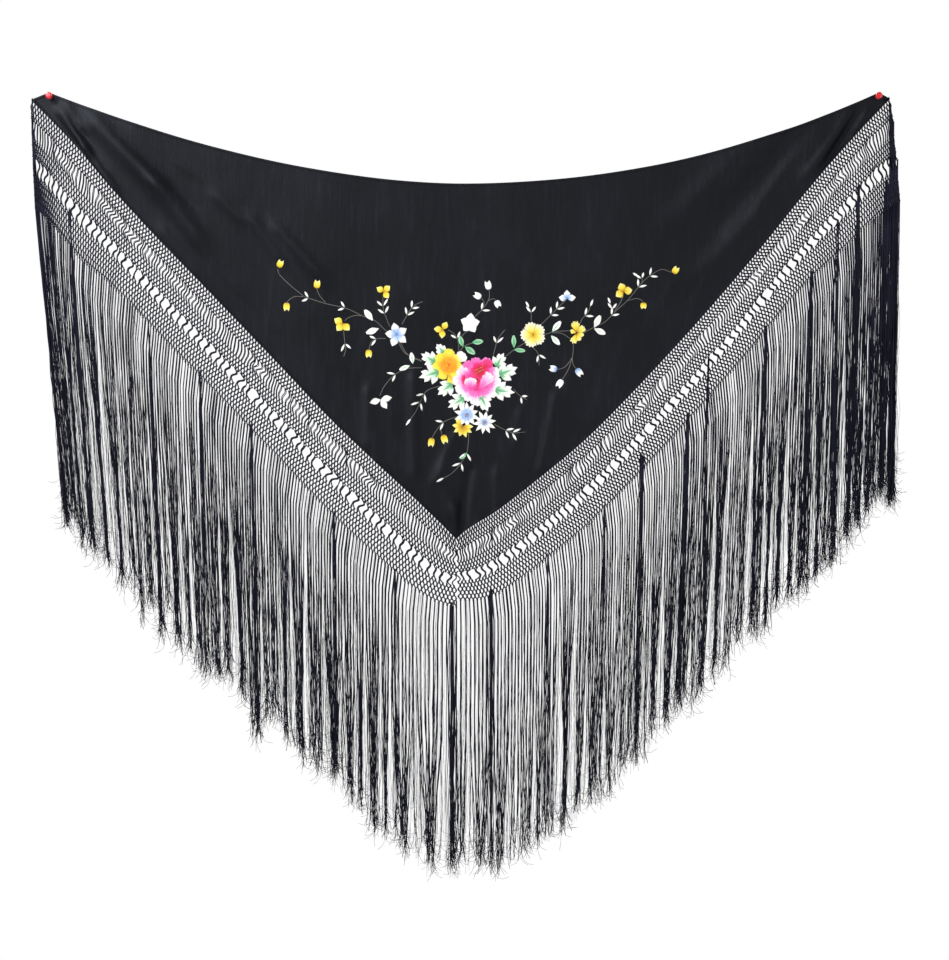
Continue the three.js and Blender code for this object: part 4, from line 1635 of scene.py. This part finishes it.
    def veined(self, leaf: Leaf) -> None:
        """Fills a leaf with slanted stitches from its vein to its edge, then lays the vein.

        Args:
            leaf: The leaf.
        """
        count = max(6, int(leaf.length * self.square / self.strand))
        at = (np.arange(count) + 0.5) / count
        edge = leaf.width * np.sin(math.pi * np.clip(at * 0.93 + 0.05, 0, 1) ** 0.8) ** 0.7
        forward = at + 0.26 * (1 - at * 0.45)
        t = np.linspace(0, 1, 4)[None, :]
        along = leaf.length * (at[:, None] * 0.9 + (forward - at * 0.9)[:, None] * t)
        for way in (-1, 1):
            side = way * edge[:, None] * t
            heights = 0.2 + 0.45 * np.sin(math.pi * (0.15 + 0.8 * t)) + 0 * side
            widths = np.full(side.shape, leaf.length * self.square / count * self.overlap)
            widths[:, -1] *= 0.55
            jitter = self.rng.normal(0, 0.08, (count, 1))
            tints = leaf.shading.at(np.clip(t + jitter, 0, 1)) * self.lustre(count)
            points = self.slanted(leaf.across, leaf.up, leaf.angle, along, side)
            self.lay(points, heights, widths, tints)
        reach = leaf.length * 0.8
        turn = np.full(3, math.radians(leaf.angle))
        route = self.polar(leaf.across, leaf.up, turn, np.array([0, reach / 2, reach]))
        self.cord(route, leaf.shading.silks[0], 0.7, 0.45)

    def jagged(self, leaf: Leaf) -> None:
        """Works a broad leaf of five pointed lobes: white, with green along its veins.

        Args:
            leaf: The leaf.
        """
        for lobe in (*LOBES, *VEINS):
            shading, lift, point = leaf.shading, 0.15 + 0.15 * lobe.length, 1.15
            if lobe in VEINS:
                shading, lift, point = LEAF_VEIN, 0.7, 1.2
            turn = math.radians(leaf.angle)
            start = self.polar(leaf.across, leaf.up, turn, np.array(lobe.start * leaf.length))
            self.lens(*start, leaf.angle + lobe.slant, leaf.length * lobe.length,
                      leaf.width * lobe.width, shading, lift, point, blunt=0.9)

    def cord(self, route: Array, silk: Floss, width: float = 0.85, lift: float = 0.25) -> None:
        """Works a line in stem stitch: short stitches that overlap like the plies of a rope.

        Args:
            route: The line's points.
            silk: Its silk.
            width: How wide it is, in millimetres.
            lift: How far it stands out, in millimetres.
        """
        run = path_lengths(route)
        pitch = self.cord_pitch
        starts = np.arange(0, max(run[-1] - pitch, pitch), pitch)
        t = np.linspace(0, 1, 4)[None, :]
        place = np.clip(starts[:, None] + self.cord_overlap * pitch * t, 0, run[-1])
        x, y = (np.interp(place, run, route[:, k]) for k in (0, 1))
        dx, dy = (
            np.interp(place + 0.4, run, route[:, k]) - np.interp(place - 0.4, run, route[:, k])
            for k in (0, 1)
        )
        length = np.maximum(np.hypot(dx, dy), 1e-6)
        offset = (t - 0.5) * width / self.square * 0.5
        points = np.stack([x - dy / length * offset, y + dx / length * offset], axis=-1)
        heights = lift + 0.18 * np.sin(math.pi * t) + 0 * x
        widths = width * (0.55 + 0.35 * np.sin(math.pi * t)) + 0 * x
        tints = np.broadcast_to(silk.paint(), points.shape[:2] + (3,)) * self.lustre(len(points))
        self.lay(points, heights, widths, tints)

    def twig(self, twig: Twig) -> None:
        """Works one twig with its pairs of small leaves.

        Args:
            twig: The twig.
        """
        route = smooth_path(twig.route, 1.2)
        self.cord(route, Floss.TWIG)
        run = path_lengths(route)
        for share in twig.pairs:
            here, on = (
                [np.interp(share * run[-1] + past, run, route[:, k]) for k in (0, 1)] for past in (0, 1.5)
            )
            back = math.degrees(math.atan2(here[1] - on[1], here[0] - on[0]))
            for way in (-1, 1):
                angle = back + way * self.rng.uniform(32, 46)
                reach = twig.leaf * self.rng.uniform(0.9, 1.1)
                start = self.polar(*here, math.radians(angle), np.array(0.9))
                self.lens(*start, angle, reach, 0.92, twig.shading)
        if twig.end_leaf:
            first, second = route[0], route[2]
            angle = math.degrees(math.atan2(first[1] - second[1], first[0] - second[0]))
            self.lens(*first, angle, twig.leaf, 0.95, twig.shading)

    def hearts(self) -> None:
        """Adds the knots in the middles of the flowers."""
        for across, up, reach in ((7, -35.5, 2.1), (24.5, -43, 1.9)):
            for k in range(8):
                angle = 2 * math.pi * k / 8
                silk = Floss.SLATE if k % 4 == 1 else Floss.GOLD
                place = (across + reach * math.cos(angle), up + reach * math.sin(angle))
                self.knots.append(Knot(*place, 0.8, 0.95, silk))
            self.knots.append(Knot(across, up, 0.8, 0.95, Floss.GOLD))
        self.knots.append(Knot(163, 88, 1.1, 1.0, Floss.RUST))
        for k in range(14):
            angle, reach = 2.4 * k, 0.95 * math.sqrt(k)
            place = (73 + reach * math.cos(angle), 45 + reach * math.sin(angle))
            self.knots.append(Knot(*place, 0.65, 0.95, Floss.GOLD))
        self.knots.append(Knot(117, 46, 0.9, 0.9, Floss.ORANGE))
        for k in range(12):
            place = (14.5 + 8.5 * k / 11, 7.5 + 4.0 * k / 11 + 1.5 * (-1) ** k)
            self.knots.append(Knot(*place, 0.75, 2.0, Floss.YELLOW if k % 3 else Floss.ORANGE))

    def work(self) -> None:
        """Works every motif: twigs first, then leaves, then flowers on top."""
        for twig in TWIGS:
            self.twig(twig)
        for leaf in JAGGED_LEAVES:
            self.jagged(leaf)
        for leaf in GREEN_LEAVES:
            self.veined(leaf)
        for bud in BUDS:
            for way, part in ((-1, 1.0), (1, 1.0), (0, 0.86)):
                start = self.polar(bud.across, bud.up, math.radians(bud.angle + 90), np.array(1.15 * way))
                self.lens(*start, bud.angle + 5 * way, bud.length * part, 1.65, bud.shading,
                          lift=0.55 - 0.1 * abs(way), point=1.3, blunt=0.62)
        for bloom in BLOOMS:
            for angle in bloom.angles:
                reach = bloom.reach * self.rng.uniform(0.93, 1.05)
                self.lens(bloom.across, bloom.up, angle, reach, bloom.width, bloom.shading,
                          lift=0.35, point=0.95, blunt=1.05)
        for petal in (*PALE_FLOWER, *SIDE_FLOWER):
            self.fan(petal)
        for petal in PEONY_SKIRT:
            self.fan(petal._replace(reach=petal.reach + self.rng.uniform(-1.4, 0.8)))
        for petal in (*PEONY, *ROSE):
            self.fan(petal)
        self.hearts()

    def build(self, material: bpy.types.Material) -> list[bpy.types.Object]:
        """Works the embroidery on both faces of the cloth.

        Args:
            material: The silk's finish.

        Returns:
            The front and the back piece.
        """
        self.work()
        spots = np.array([knot[:4] for knot in self.knots])
        knot_tints = np.array([knot.silk.paint() for knot in self.knots])
        pieces = []
        for face in Face:
            batch = Batch()
            for points, heights, widths, tints in self.strands:
                x, z = self.on_cloth(points)
                dx, dz = np.gradient(x, axis=1), np.gradient(z, axis=1)
                length = np.maximum(np.hypot(dx, dz), 1e-6)
                ax, az = dz / length * widths / 2, -dx / length * widths / 2
                rows = [
                    self.cloth.surface(face, x - ax, z - az, heights - self.ridge),
                    self.cloth.surface(face, x, z, heights),
                    self.cloth.surface(face, x + ax, z + az, heights - self.ridge),
                ]
                batch.add_ribbons(np.stack(rows, axis=2), tints, face is Face.BACK)
            centres = self.cloth.surface(face, *self.on_cloth(spots), spots[:, 3])
            batch.add_beads(centres, spots[:, 2:3] * np.array([[1, 0.8, 1]]), knot_tints, 3, 7)
            pieces.append(batch.make(f"embroidery_{face.name.lower()}", "embroidery", material))
        return pieces

    def on_cloth(self, places: Array) -> tuple[Array, Array]:
        """X and z of chart places."""
        return tuple(self.centre[k] + self.square * places[..., k] for k in (0, 1))


NET_COLUMNS = {Side.LEFT: 156, Side.RIGHT: 176}


@dataclass
class KnottedNet:
    """The net of one side: rows of small knots, with two bands where the threads run free.

    Places along the side are counted in half columns from its outer end. Every other row of knots is
    set over by one of them, and the left side has the thread that hangs from the apex.
    """

    side: Side
    columns: int
    upper_rows: tuple[float, ...] = (0.014, 0.062, 0.114, 0.168)
    middle_rows: tuple[float, ...] = (0.358, 0.411, 0.465, 0.52)
    lower_rows: tuple[float, ...] = (0.7, 0.76, 0.82, 0.88, 0.94, 1.0)
    open_places: tuple[float, float] = (0.25, 0.6)
    open_reach: float = 0.07
    thread_radius: float = 1.35
    free_radius: float = 0.9
    knot_sizes: tuple[float, float, float] = (2.0, 1.6, 2.1)
    knot_stray: float = 0.16
    tie_length: float = 5.5
    tie_height: float = 1.5
    drift_step: float = 4.5
    drift_size: float = 0.9
    free_drift_size: float = 5.0
    bend: float = 1.5
    gather: float = 0.2
    slant: float = 0.85
    uneven: float = 0.5
    sway: float = 1.0
    sway_step: float = 5.0
    free_pair: float = 0.24
    bundle_pair: float = 0.16
    seed: int = 11

    def __post_init__(self) -> None:
        """Draws how the threads wander sideways, the same in each row of a band."""
        self.rng = np.random.default_rng(self.seed + (0 if self.side is Side.LEFT else 1))
        self.even = np.arange(self.columns) * 2 + 1
        self.places = np.arange(self.columns * 2 + 3)
        self.calm_drift = wander(self.rng, len(self.places), self.drift_step * 2)
        self.free_drift = wander(self.rng, len(self.places), self.drift_step)

    def point(self, half_column: Array, share: Array) -> Array:
        """A point of the net.

        Args:
            half_column: The place along the side.
            share: How far down the net, from 0 to 1.

        Returns:
            Points as an array whose last axis is x, y, z.
        """
        half_column, share = np.broadcast_arrays(half_column, share)
        at = FORM.net_point(self.side, FORM.side_x(self.side, half_column / (2 * self.columns)), share)
        opened = sum(np.exp(-(((share - place) / self.open_reach) ** 2)) for place in self.open_places)
        calm = np.interp(half_column, self.places, self.calm_drift)
        free = np.interp(half_column, self.places, self.free_drift)
        drift = self.drift_size * calm * ease(share / 0.1) + self.free_drift_size * free * opened
        at[..., 0] += drift * ease((2 * self.columns - half_column) / 8)
        return at

    def run(self, across: Array, start: float, stop: float, radius: float, stray: float,
            batch: Batch) -> None:
        """Runs threads down from one row to another.

        Args:
            across: The half column of each thread at each of its points.
            start: The row where they start.
            stop: The row where they end.
            radius: Their radius.
            stray: How far they lie in front of or behind one another.
            batch: Where they go.
        """
        paths = self.point(across, start + (stop - start) * np.linspace(0, 1, across.shape[1]))
        paths[..., 1] += self.rng.uniform(-stray, stray, (len(paths), 1))
        batch.add_tubes(paths, radius)

    def mesh_rows(self, shares: tuple[float, ...], batch: Batch) -> None:
        """Knots one closed band, with two threads down from each knot.

        Args:
            shares: The rows' places down the net.
            batch: Where the threads and knots go.
        """
        odd = np.arange(self.columns + (self.side is Side.LEFT)) * 2
        last = 2 * self.columns - (self.side is Side.RIGHT)
        turned = ease((np.linspace(0, 1, 4) - 0.5) * self.bend + 0.5)
        for row, share in enumerate(shares):
            here = odd if row % 2 else self.even
            centres = self.point(here, share)
            centres += self.rng.normal(0, self.knot_stray, centres.shape)
            batch.add_beads(centres, np.array(self.knot_sizes))
            if row + 1 == len(shares):
                continue
            for way in (-1, 1):
                kept = here[(here + way >= 0) & (here + way <= last)]
                across = kept[:, None] + way * turned
                self.run(across, share, shares[row + 1], self.thread_radius, 0.35, batch)

    def free_band(self, batch: Batch) -> None:
        """Runs swaying pairs of threads across the upper open band.

        Args:
            batch: Where they go.
        """
        turn = np.sin(2 * math.pi * np.linspace(0, 1, 10))
        sway = self.sway * (0.6 + 0.9 * wander(self.rng, self.columns, self.sway_step))
        for shift in (-self.free_pair, self.free_pair):
            across = (self.even + shift)[:, None] + sway[:, None] * turn
            self.run(across, self.upper_rows[-1], self.middle_rows[0], self.free_radius, 0.35, batch)

    def bundled_band(self, batch: Batch) -> None:
        """Runs threads across the lower open band, gathered in fours for most of the way.

        Args:
            batch: Where they go.
        """
        even, end = self.even, 2 * self.columns
        bundle = np.round(even / 4) * 4
        bundle = bundle + self.uneven * self.rng.normal(0, 0.8, end + 9)[bundle.astype(int)]
        inside = (bundle > 1) & (bundle < end - 1)
        middle = np.where(inside, bundle + 0.22 * np.sign(even - bundle), even)
        t = np.linspace(0, 1, 12)
        gathered = ease(t / self.gather) * ease((1 - t) / self.gather)
        for shift in (-self.bundle_pair, self.bundle_pair):
            ends, middles = even + shift, middle + shift * 0.8
            slant = self.slant * (1 + self.uneven * np.interp(middles, self.places, self.free_drift))
            across = ends[:, None] + (middles - ends)[:, None] * gathered
            across = across + slant[:, None] * np.sin(2 * math.pi * t)
            self.run(across, self.middle_rows[-1], self.lower_rows[0], self.free_radius, 0.5, batch)

    def ties(self, batch: Batch) -> None:
        """Ties each thread through the hem with a loop on both faces.

        Args:
            batch: Where the loops go.
        """
        start = FORM.side_x(self.side, self.even / (2 * self.columns))[:, None]
        top = FORM.lower_edge(start) + self.tie_length
        first = self.point(self.even, self.upper_rows[0])
        t = np.linspace(0, 1, 5)
        px, pz = start + (first[:, :1] - start) * t, top + (first[:, 2:] - top) * t
        proud = self.tie_height * np.sin(math.pi * np.clip(t * 0.85 + 0.12, 0, 1))
        for face in Face:
            y = FORM.depth(px, pz) + face.value * proud
            batch.add_tubes(np.stack([px, y, pz], axis=-1), self.free_radius)

    def build(self, material: bpy.types.Material) -> list[bpy.types.Object]:
        """Builds the net as two pieces, the upper and the lower half.

        Args:
            material: The thread's finish.

        Returns:
            The two pieces.
        """
        upper, lower = Batch(), Batch()
        self.ties(upper)
        self.mesh_rows(self.upper_rows, upper)
        self.free_band(upper)
        self.mesh_rows(self.middle_rows, lower)
        self.bundled_band(lower)
        self.mesh_rows(self.lower_rows, lower)
        name = f"net_{self.side.value}"
        return [
            upper.make(f"{name}_upper", "net_thread", material),
            lower.make(f"{name}_lower", "net_thread", material),
        ]


class Hang(NamedTuple):
    """How long the fringe is, and how far its ends drift sideways, by where it starts."""

    x: float
    length: float
    drift: float


class Thickness(NamedTuple):
    """How many threads hang from each centimetre of the net's width, by where they start."""

    x: float
    threads: float


class HeavyLock(NamedTuple):
    """A thick lock: where it hangs, how far down the net it starts, its threads and its half width."""

    x: float
    share: float
    threads: int
    spread: float


FRINGE_THICKNESS = (
    Thickness(-33, 12),
    Thickness(60, 8.2),
    Thickness(300, 12.0),
    Thickness(500, 12.0),
    Thickness(711, 7.8),
    Thickness(860, 9.2),
    Thickness(1050, 9.6),
    Thickness(1300, 12.8),
    Thickness(1489, 23),
)

# The locks that stand out
HEAVY_LOCKS = (
    HeavyLock(30, 0.7, 18, 3.4),
    HeavyLock(172, 1.0, 9, 2.4),
    HeavyLock(264, 1.0, 8, 2.2),
    HeavyLock(352, 0.95, 9, 2.0),
    HeavyLock(498, 1.0, 10, 2.6),
    HeavyLock(604, 1.0, 8, 2.0),
    HeavyLock(706, 1.0, 18, 5.0),
    HeavyLock(772, 0.96, 17, 4.6),
    HeavyLock(871, 1.0, 9, 2.4),
    HeavyLock(968, 1.0, 9, 2.6),
    HeavyLock(1043, 0.86, 15, 2.8),
    HeavyLock(1117, 0.97, 18, 4.4),
    HeavyLock(1176, 0.62, 10, 2.4),
    HeavyLock(1254, 1.0, 12, 3.2),
    HeavyLock(1333, 0.95, 15, 2.8),
    HeavyLock(1388, 0.7, 10, 4.2),
    HeavyLock(1430, 0.55, 20, 6.5),
    HeavyLock(1469, 0.8, 26, 7.5),
)

FRINGE_HANG = (
    Hang(-33, 520, 57),
    Hang(20, 530, 44),
    Hang(87, 516, 36),
    Hang(175, 512, 25),
    Hang(281, 494, 16),
    Hang(437, 461, 7),
    Hang(711, 462, 0),
    Hang(937, 484, -10),
    Hang(1047, 498, -15),
    Hang(1170, 502, -21),
    Hang(1262, 506, -18),
    Hang(1362, 518, -15),
    Hang(1413, 524, -13),
    Hang(1489, 505, -10),
)


@dataclass
class Fringe:
    """The loose thread ends of one side. They gather into uneven locks and fray at the tips."""

    side: Side
    net: KnottedNet
    off_wall: float = 1.2
    edge_threads: int = 46
    rings: int = 16
    ring_crowding: float = 1.35
    root_radius: float = 0.7
    root_stray: float = 0.95
    lock_columns: tuple[int, int] = (2, 7)
    lock_pulls: tuple[float, ...] = (0.35, 0.6, 0.8, 0.9)
    lock_throat: float = 0.4
    heavy_pull: float = 0.35
    unlocked: float = 0.16
    ragged: float = 18.0
    tip_radius: float = 0.5
    fray_from: float = 0.93
    hair_radius: float = 0.2
    hair_rings: int = 11
    loose_count: int = 880
    hairs_per_tip: float = 1.9
    long_waves: tuple[float, float] = (120.0, 260.0)
    hair_waves: tuple[float, float] = (90.0, 240.0)
    short_waves: tuple[float, float] = (60.0, 130.0)
    swing_out: float = 7.0
    swing_fade: float = 60.0
    drift_power: float = 1.05
    seed: int = 31

    def __post_init__(self) -> None:
        """Starts the side's own sequence of random numbers."""
        self.rng = np.random.default_rng(self.seed + (0 if self.side is Side.LEFT else 1))

    def locks(self) -> Array:
        """Draws which lock each column belongs to.

        Returns:
            Each column's lock: rows of centre column, pull, starting height and length change.
        """
        columns = self.net.columns + 1
        locks = np.zeros((4, columns))
        at = 0
        while at < columns:
            stop = min(columns, at + int(self.rng.integers(*self.lock_columns, endpoint=True)))
            centre = (at + stop - 1) / 2 + self.rng.uniform(-0.4, 0.4)
            pull, start = self.rng.choice(self.lock_pulls), self.rng.uniform(0.02, 0.5)
            longer = self.rng.normal(0, self.ragged * 0.7)
            locks[:, at:stop] = np.array([centre, pull, start, longer])[:, None]
            at = stop
        return locks

    def roots(self) -> Array:
        """Chooses where each thread starts.

        Returns:
            For each thread its column, how far down the net its root is, and how far it may stray.
        """
        columns = np.arange(self.net.columns + 1)
        table = np.array(FRINGE_THICKNESS)
        places = self.net.point(2 * columns, 1.0)[:, 0]
        centimetres = np.abs(np.gradient(places)) / 10
        wanted = centimetres * np.interp(places, table[:, 0], table[:, 1])
        counts = np.floor(wanted + self.rng.random(len(columns))).astype(int)
        edge = self.rng.uniform(0.02, 1.0, self.edge_threads)
        groups = [(np.repeat(columns, counts), 1.0, self.root_stray), (0.0, edge, self.root_stray)]
        for lock in HEAVY_LOCKS:
            if (lock.x < FORM.apex[0]) is (self.side is Side.LEFT):
                nearest = np.argmin(np.abs(places - lock.x))
                groups.append((nearest, lock.share + self.rng.uniform(-0.07, 0, lock.threads), lock.spread))
        return np.concatenate([np.stack(np.broadcast_arrays(*group)) for group in groups], axis=1)

    def waves(self, length: Array, t: Array, span: tuple[float, float]) -> Array:
        """Draws one slow wave for each thread.

        Args:
            length: Each thread's length.
            t: Places along the threads, from 0 to 1.
            span: The shortest and the longest wave.

        Returns:
            Values between -1 and 1, one row for each thread.
        """
        turns = length[:, None] * t / self.rng.uniform(*span, (len(length), 1))
        return np.sin(2 * math.pi * (turns + self.rng.random((len(length), 1)))) * ease(t * 4)

    def swing(self, x: Array, t: Array) -> Array:
        """How far threads swing outwards below the net before they hang straight.

        Args:
            x: Where they start.
            t: Places along the threads, from 0 to 1.

        Returns:
            The sideways shift, which fades towards either end of the side.
        """
        tip, apex = FORM.tip(self.side)[0], FORM.apex[0]
        fade = ease(np.abs(x - tip) / self.swing_fade / 2) * (1 - np.exp(-np.abs(x - apex) / self.swing_fade))
        return self.swing_out * math.copysign(1, tip - apex) * fade * (1 - np.exp(-22 * t))

    def hanging(self, root: Array) -> tuple[Array, Array]:
        """The length and the sideways drift of threads that start at these points."""
        table = np.array(FRINGE_HANG)
        return tuple(look_up(table[:, 0], table[:, k], root[:, 0]) for k in (1, 2))

    def paths(self, x: Array, y: Array, z: Array) -> Array:
        """Points in one array, all of them kept off the wall."""
        return np.stack(np.broadcast_arrays(x, np.minimum(y, -self.off_wall), z), axis=-1)

    def threads(self) -> tuple[Array, Array, Array]:
        """Lays out the fringe's own threads.

        Returns:
            Their paths, their radii along the paths, and the column that each starts from.
        """
        rng = self.rng
        column, share, stray = self.roots()
        count = len(column)
        heavy = stray > self.root_stray
        centre, pull, start, longer = self.locks()[:, column.astype(int)]
        root, foot = self.net.point(2 * column, share), self.net.point(2 * column, 1.0)
        apart = (rng.normal(0, 0.6, count) * stray)[:, None]
        root[:, 1] += rng.normal(0, 0.5, count)
        length, drift = self.hanging(root)
        length = length + longer + rng.uniform(-1, 1.1, count) * self.ragged + root[:, 2] - foot[:, 2]
        t = (1 - (1 - np.linspace(0, 1, self.rings)) ** self.ring_crowding)[None, :]
        unlocked = rng.random(count) < self.unlocked
        pull = np.where(unlocked, pull * rng.uniform(-0.2, 0.3, count), pull)
        pull = np.where(heavy, self.heavy_pull, pull)
        towards = np.where(heavy, foot[:, 0], self.net.point(2 * centre, 1.0)[:, 0]) - root[:, 0]
        opened = np.where(heavy[:, None], self.lock_throat + (1 - self.lock_throat) * ease(t * 4), 1.0)
        x = root[:, :1] + apart * opened + drift[:, None] * t**self.drift_power
        x = x + self.swing(root[:, :1], t) * (share == 1)[:, None]
        x = x + (pull * towards)[:, None] * ease((t - start[:, None]) / 0.75)
        height = (0.3 + 1.6 * t**1.5) * rng.uniform(0.5, 1.5, (count, 1))
        x = x + height * self.waves(length, t, self.long_waves)
        x = x + 0.5 * height * self.waves(length, t, self.short_waves)
        fray = np.clip((t - self.fray_from) / (1 - self.fray_from), 0, 1) ** 1.6
        x = x + rng.normal(0, 4.5, (count, 1)) * fray
        z = root[:, 2:] - length[:, None] * t + np.abs(rng.normal(0, 4.0, (count, 1))) * fray
        spread = rng.normal(0, 1.6, (count, 1)) * ease(t * 1.5) + rng.normal(0, 2.0, (count, 1)) * fray
        radii = self.root_radius + (self.tip_radius - self.root_radius) * t
        paths = self.paths(x, root[:, 1:2] - spread, z)
        return paths, radii * rng.uniform(0.75, 1.25, (count, 1)), column

    def loose_hairs(self) -> tuple[Array, Array]:
        """Lays out the fine filaments that have come loose and hang between the locks.

        Returns:
            Their paths, and the column that each starts from.
        """
        rng, count = self.rng, self.loose_count
        column = rng.uniform(0, self.net.columns, count)
        root = self.net.point(2 * column, 1.0)
        length, drift = self.hanging(root)
        first = rng.uniform(0.0, 0.5, (count, 1)) * (rng.random((count, 1)) < 0.7)
        last = rng.uniform(0.8, 1.04, (count, 1))
        t = first + (last - first) * np.linspace(0, 1, self.hair_rings)[None, :]
        x = root[:, :1] + drift[:, None] * t**self.drift_power + self.swing(root[:, :1], t)
        x = x + rng.normal(0, 5, (count, 1)) * (t - first)
        x = x + rng.uniform(0.5, 2.6, (count, 1)) * self.waves(length, t, self.hair_waves)
        x = x + rng.uniform(0.2, 1.2, (count, 1)) * self.waves(length, t, self.short_waves)
        y = root[:, 1:2] - rng.normal(0, 2.2, (count, 1)) * ease(t * 1.5)
        return self.paths(x, y, root[:, 2:] - length[:, None] * t), column

    def tip_hairs(self, paths: Array, column: Array) -> tuple[Array, Array]:
        """Frays the threads' lower ends into short fans of filaments.

        Args:
            paths: The threads.
            column: The column that each starts from.

        Returns:
            The hairs' paths, and the column that each belongs to.
        """
        rng = self.rng
        chosen = rng.integers(0, len(paths), int(len(paths) * self.hairs_per_tip))
        start = paths[chosen, self.rings - 1 - rng.integers(0, 4, len(chosen))]
        count = len(chosen)
        reach = rng.uniform(9, 26, (count, 1))
        turn, curl = rng.normal(0, 0.42, (count, 1)), rng.normal(0, 0.6, (count, 1))
        t = np.linspace(0, 1, 4)[None, :]
        angle = turn + curl * t
        x, z = start[:, :1] + reach * t * np.sin(angle), start[:, 2:] - reach * t * np.cos(angle)
        return self.paths(x, start[:, 1:2] - rng.normal(0, 2.0, (count, 1)) * t, z), column[chosen]

    def build(self, material: bpy.types.Material) -> list[bpy.types.Object]:
        """Builds the fringe as an outer and an inner piece.

        Args:
            material: The thread's finish.

        Returns:
            The two pieces.
        """
        paths, radii, column = self.threads()
        loose, loose_column = self.loose_hairs()
        tips, tip_column = self.tip_hairs(paths, column)
        pieces = []
        half = self.net.columns / 2
        for part, kept in (("outer", lambda at: at < half), ("inner", lambda at: at >= half)):
            batch = Batch()
            batch.add_tubes(paths[kept(column)], radii[kept(column)])
            batch.add_tubes(loose[kept(loose_column)], self.hair_radius)
            batch.add_tubes(tips[kept(tip_column)], self.hair_radius * 1.3)
            pieces.append(batch.make(f"fringe_{self.side.value}_{part}", "fringe_thread", material))
        return pieces


@dataclass
class PushPin:
    """One push pin: a turned red head and its steel needle."""

    name: str
    x: float
    sides: int = 48
    needle_radius: float = 0.6
    in_wall: float = 9.0
    point: float = 2.5
    collar: float = 2.65
    profile: tuple[tuple[float, float], ...] = (
        (5.2, 0.0), (5.35, 0.35), (5.3, 1.0), (4.6, 1.6), (3.7, 2.4), (3.15, 3.6), (2.95, 5.2),
        (3.05, 7.0), (3.4, 8.6), (4.3, 9.8), (5.5, 10.5), (5.8, 10.9), (5.8, 12.0), (5.5, 12.6),
        (4.8, 12.95), (2.6, 13.0),
    )

    def turned(self, rows: list[tuple[float, float]], batch: Batch) -> None:
        """Turns a profile round the pin's axis.

        Args:
            rows: Radius and y of each ring, from the wall outwards.
            batch: Where the faces go.
        """
        turn = 2 * math.pi * np.arange(self.sides) / self.sides
        radius, y = np.array(rows).T
        points = np.stack(
            [
                self.x + radius[:, None] * np.cos(turn),
                np.repeat(y[:, None], self.sides, axis=1),
                radius[:, None] * np.sin(turn),
            ],
            axis=-1,
        )
        steps = np.hypot(*np.gradient(np.array(rows), axis=0).T)
        batch.add_sleeves(points[None], steps[None], turned=True)

    def build(self, plastic: bpy.types.Material, steel: bpy.types.Material) -> list[bpy.types.Object]:
        """Builds the head and the needle.

        Args:
            plastic: The head's finish.
            steel: The needle's finish.

        Returns:
            The two pieces.
        """
        head, needle = Batch(), Batch()
        rows = [(self.needle_radius, -self.collar)]
        rows += [(radius, -self.collar - out) for radius, out in self.profile]
        self.turned(rows, head)
        tip = self.in_wall
        shaft = [(0.05, tip), (self.needle_radius, tip - self.point), (self.needle_radius, -self.collar - 1)]
        self.turned(shaft, needle)
        return [
            head.make(f"{self.name}_head", "pin_head", plastic),
            needle.make(f"{self.name}_needle", "pin_needle", steel),
        ]


def main() -> None:
    """Builds the shawl piece by piece and reports each."""
    studio = Studio()
    studio.camera()
    studio.lights()
    studio.floor()
    crepe = CrepeFinish().material()
    net_thread = ThreadFinish("net_thread").material()
    fringe_thread = ThreadFinish("fringe_thread", roughness=0.46).material()
    floss = FlossFinish().material()
    plastic, steel = PinPlasticFinish().material(), NeedleFinish().material()

    cloth = ClothPanel()
    panel = cloth.panel(crepe)
    hem = cloth.hem(crepe)
    stitches = cloth.hem_stitches(net_thread)
    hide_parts("cloth_panel")
    with_cloth = [hem, stitches, *Embroidery(cloth).build(floss)]

    for side in Side:
        net = KnottedNet(side, NET_COLUMNS[side])
        upper, lower = net.build(net_thread)
        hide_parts(f"net_{side.value}")
        outer, inner = Fringe(side, net).build(fringe_thread)
        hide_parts(*(f"fringe_{side.value}_{k}" for k in (1, 2, 3)))
        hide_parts(*(f"fringe_{side.value}_{k}" for k in (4, 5, 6)))
        with_cloth += [upper, lower, outer, inner]

    pins = []
    for name, x in (("pin_left", 0.0), ("pin_right", FORM.pin_span)):
        head, needle = PushPin(name, x).build(plastic, steel)
        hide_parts(name)
        pins += [head, needle]


if __name__ == "__main__":
    main()
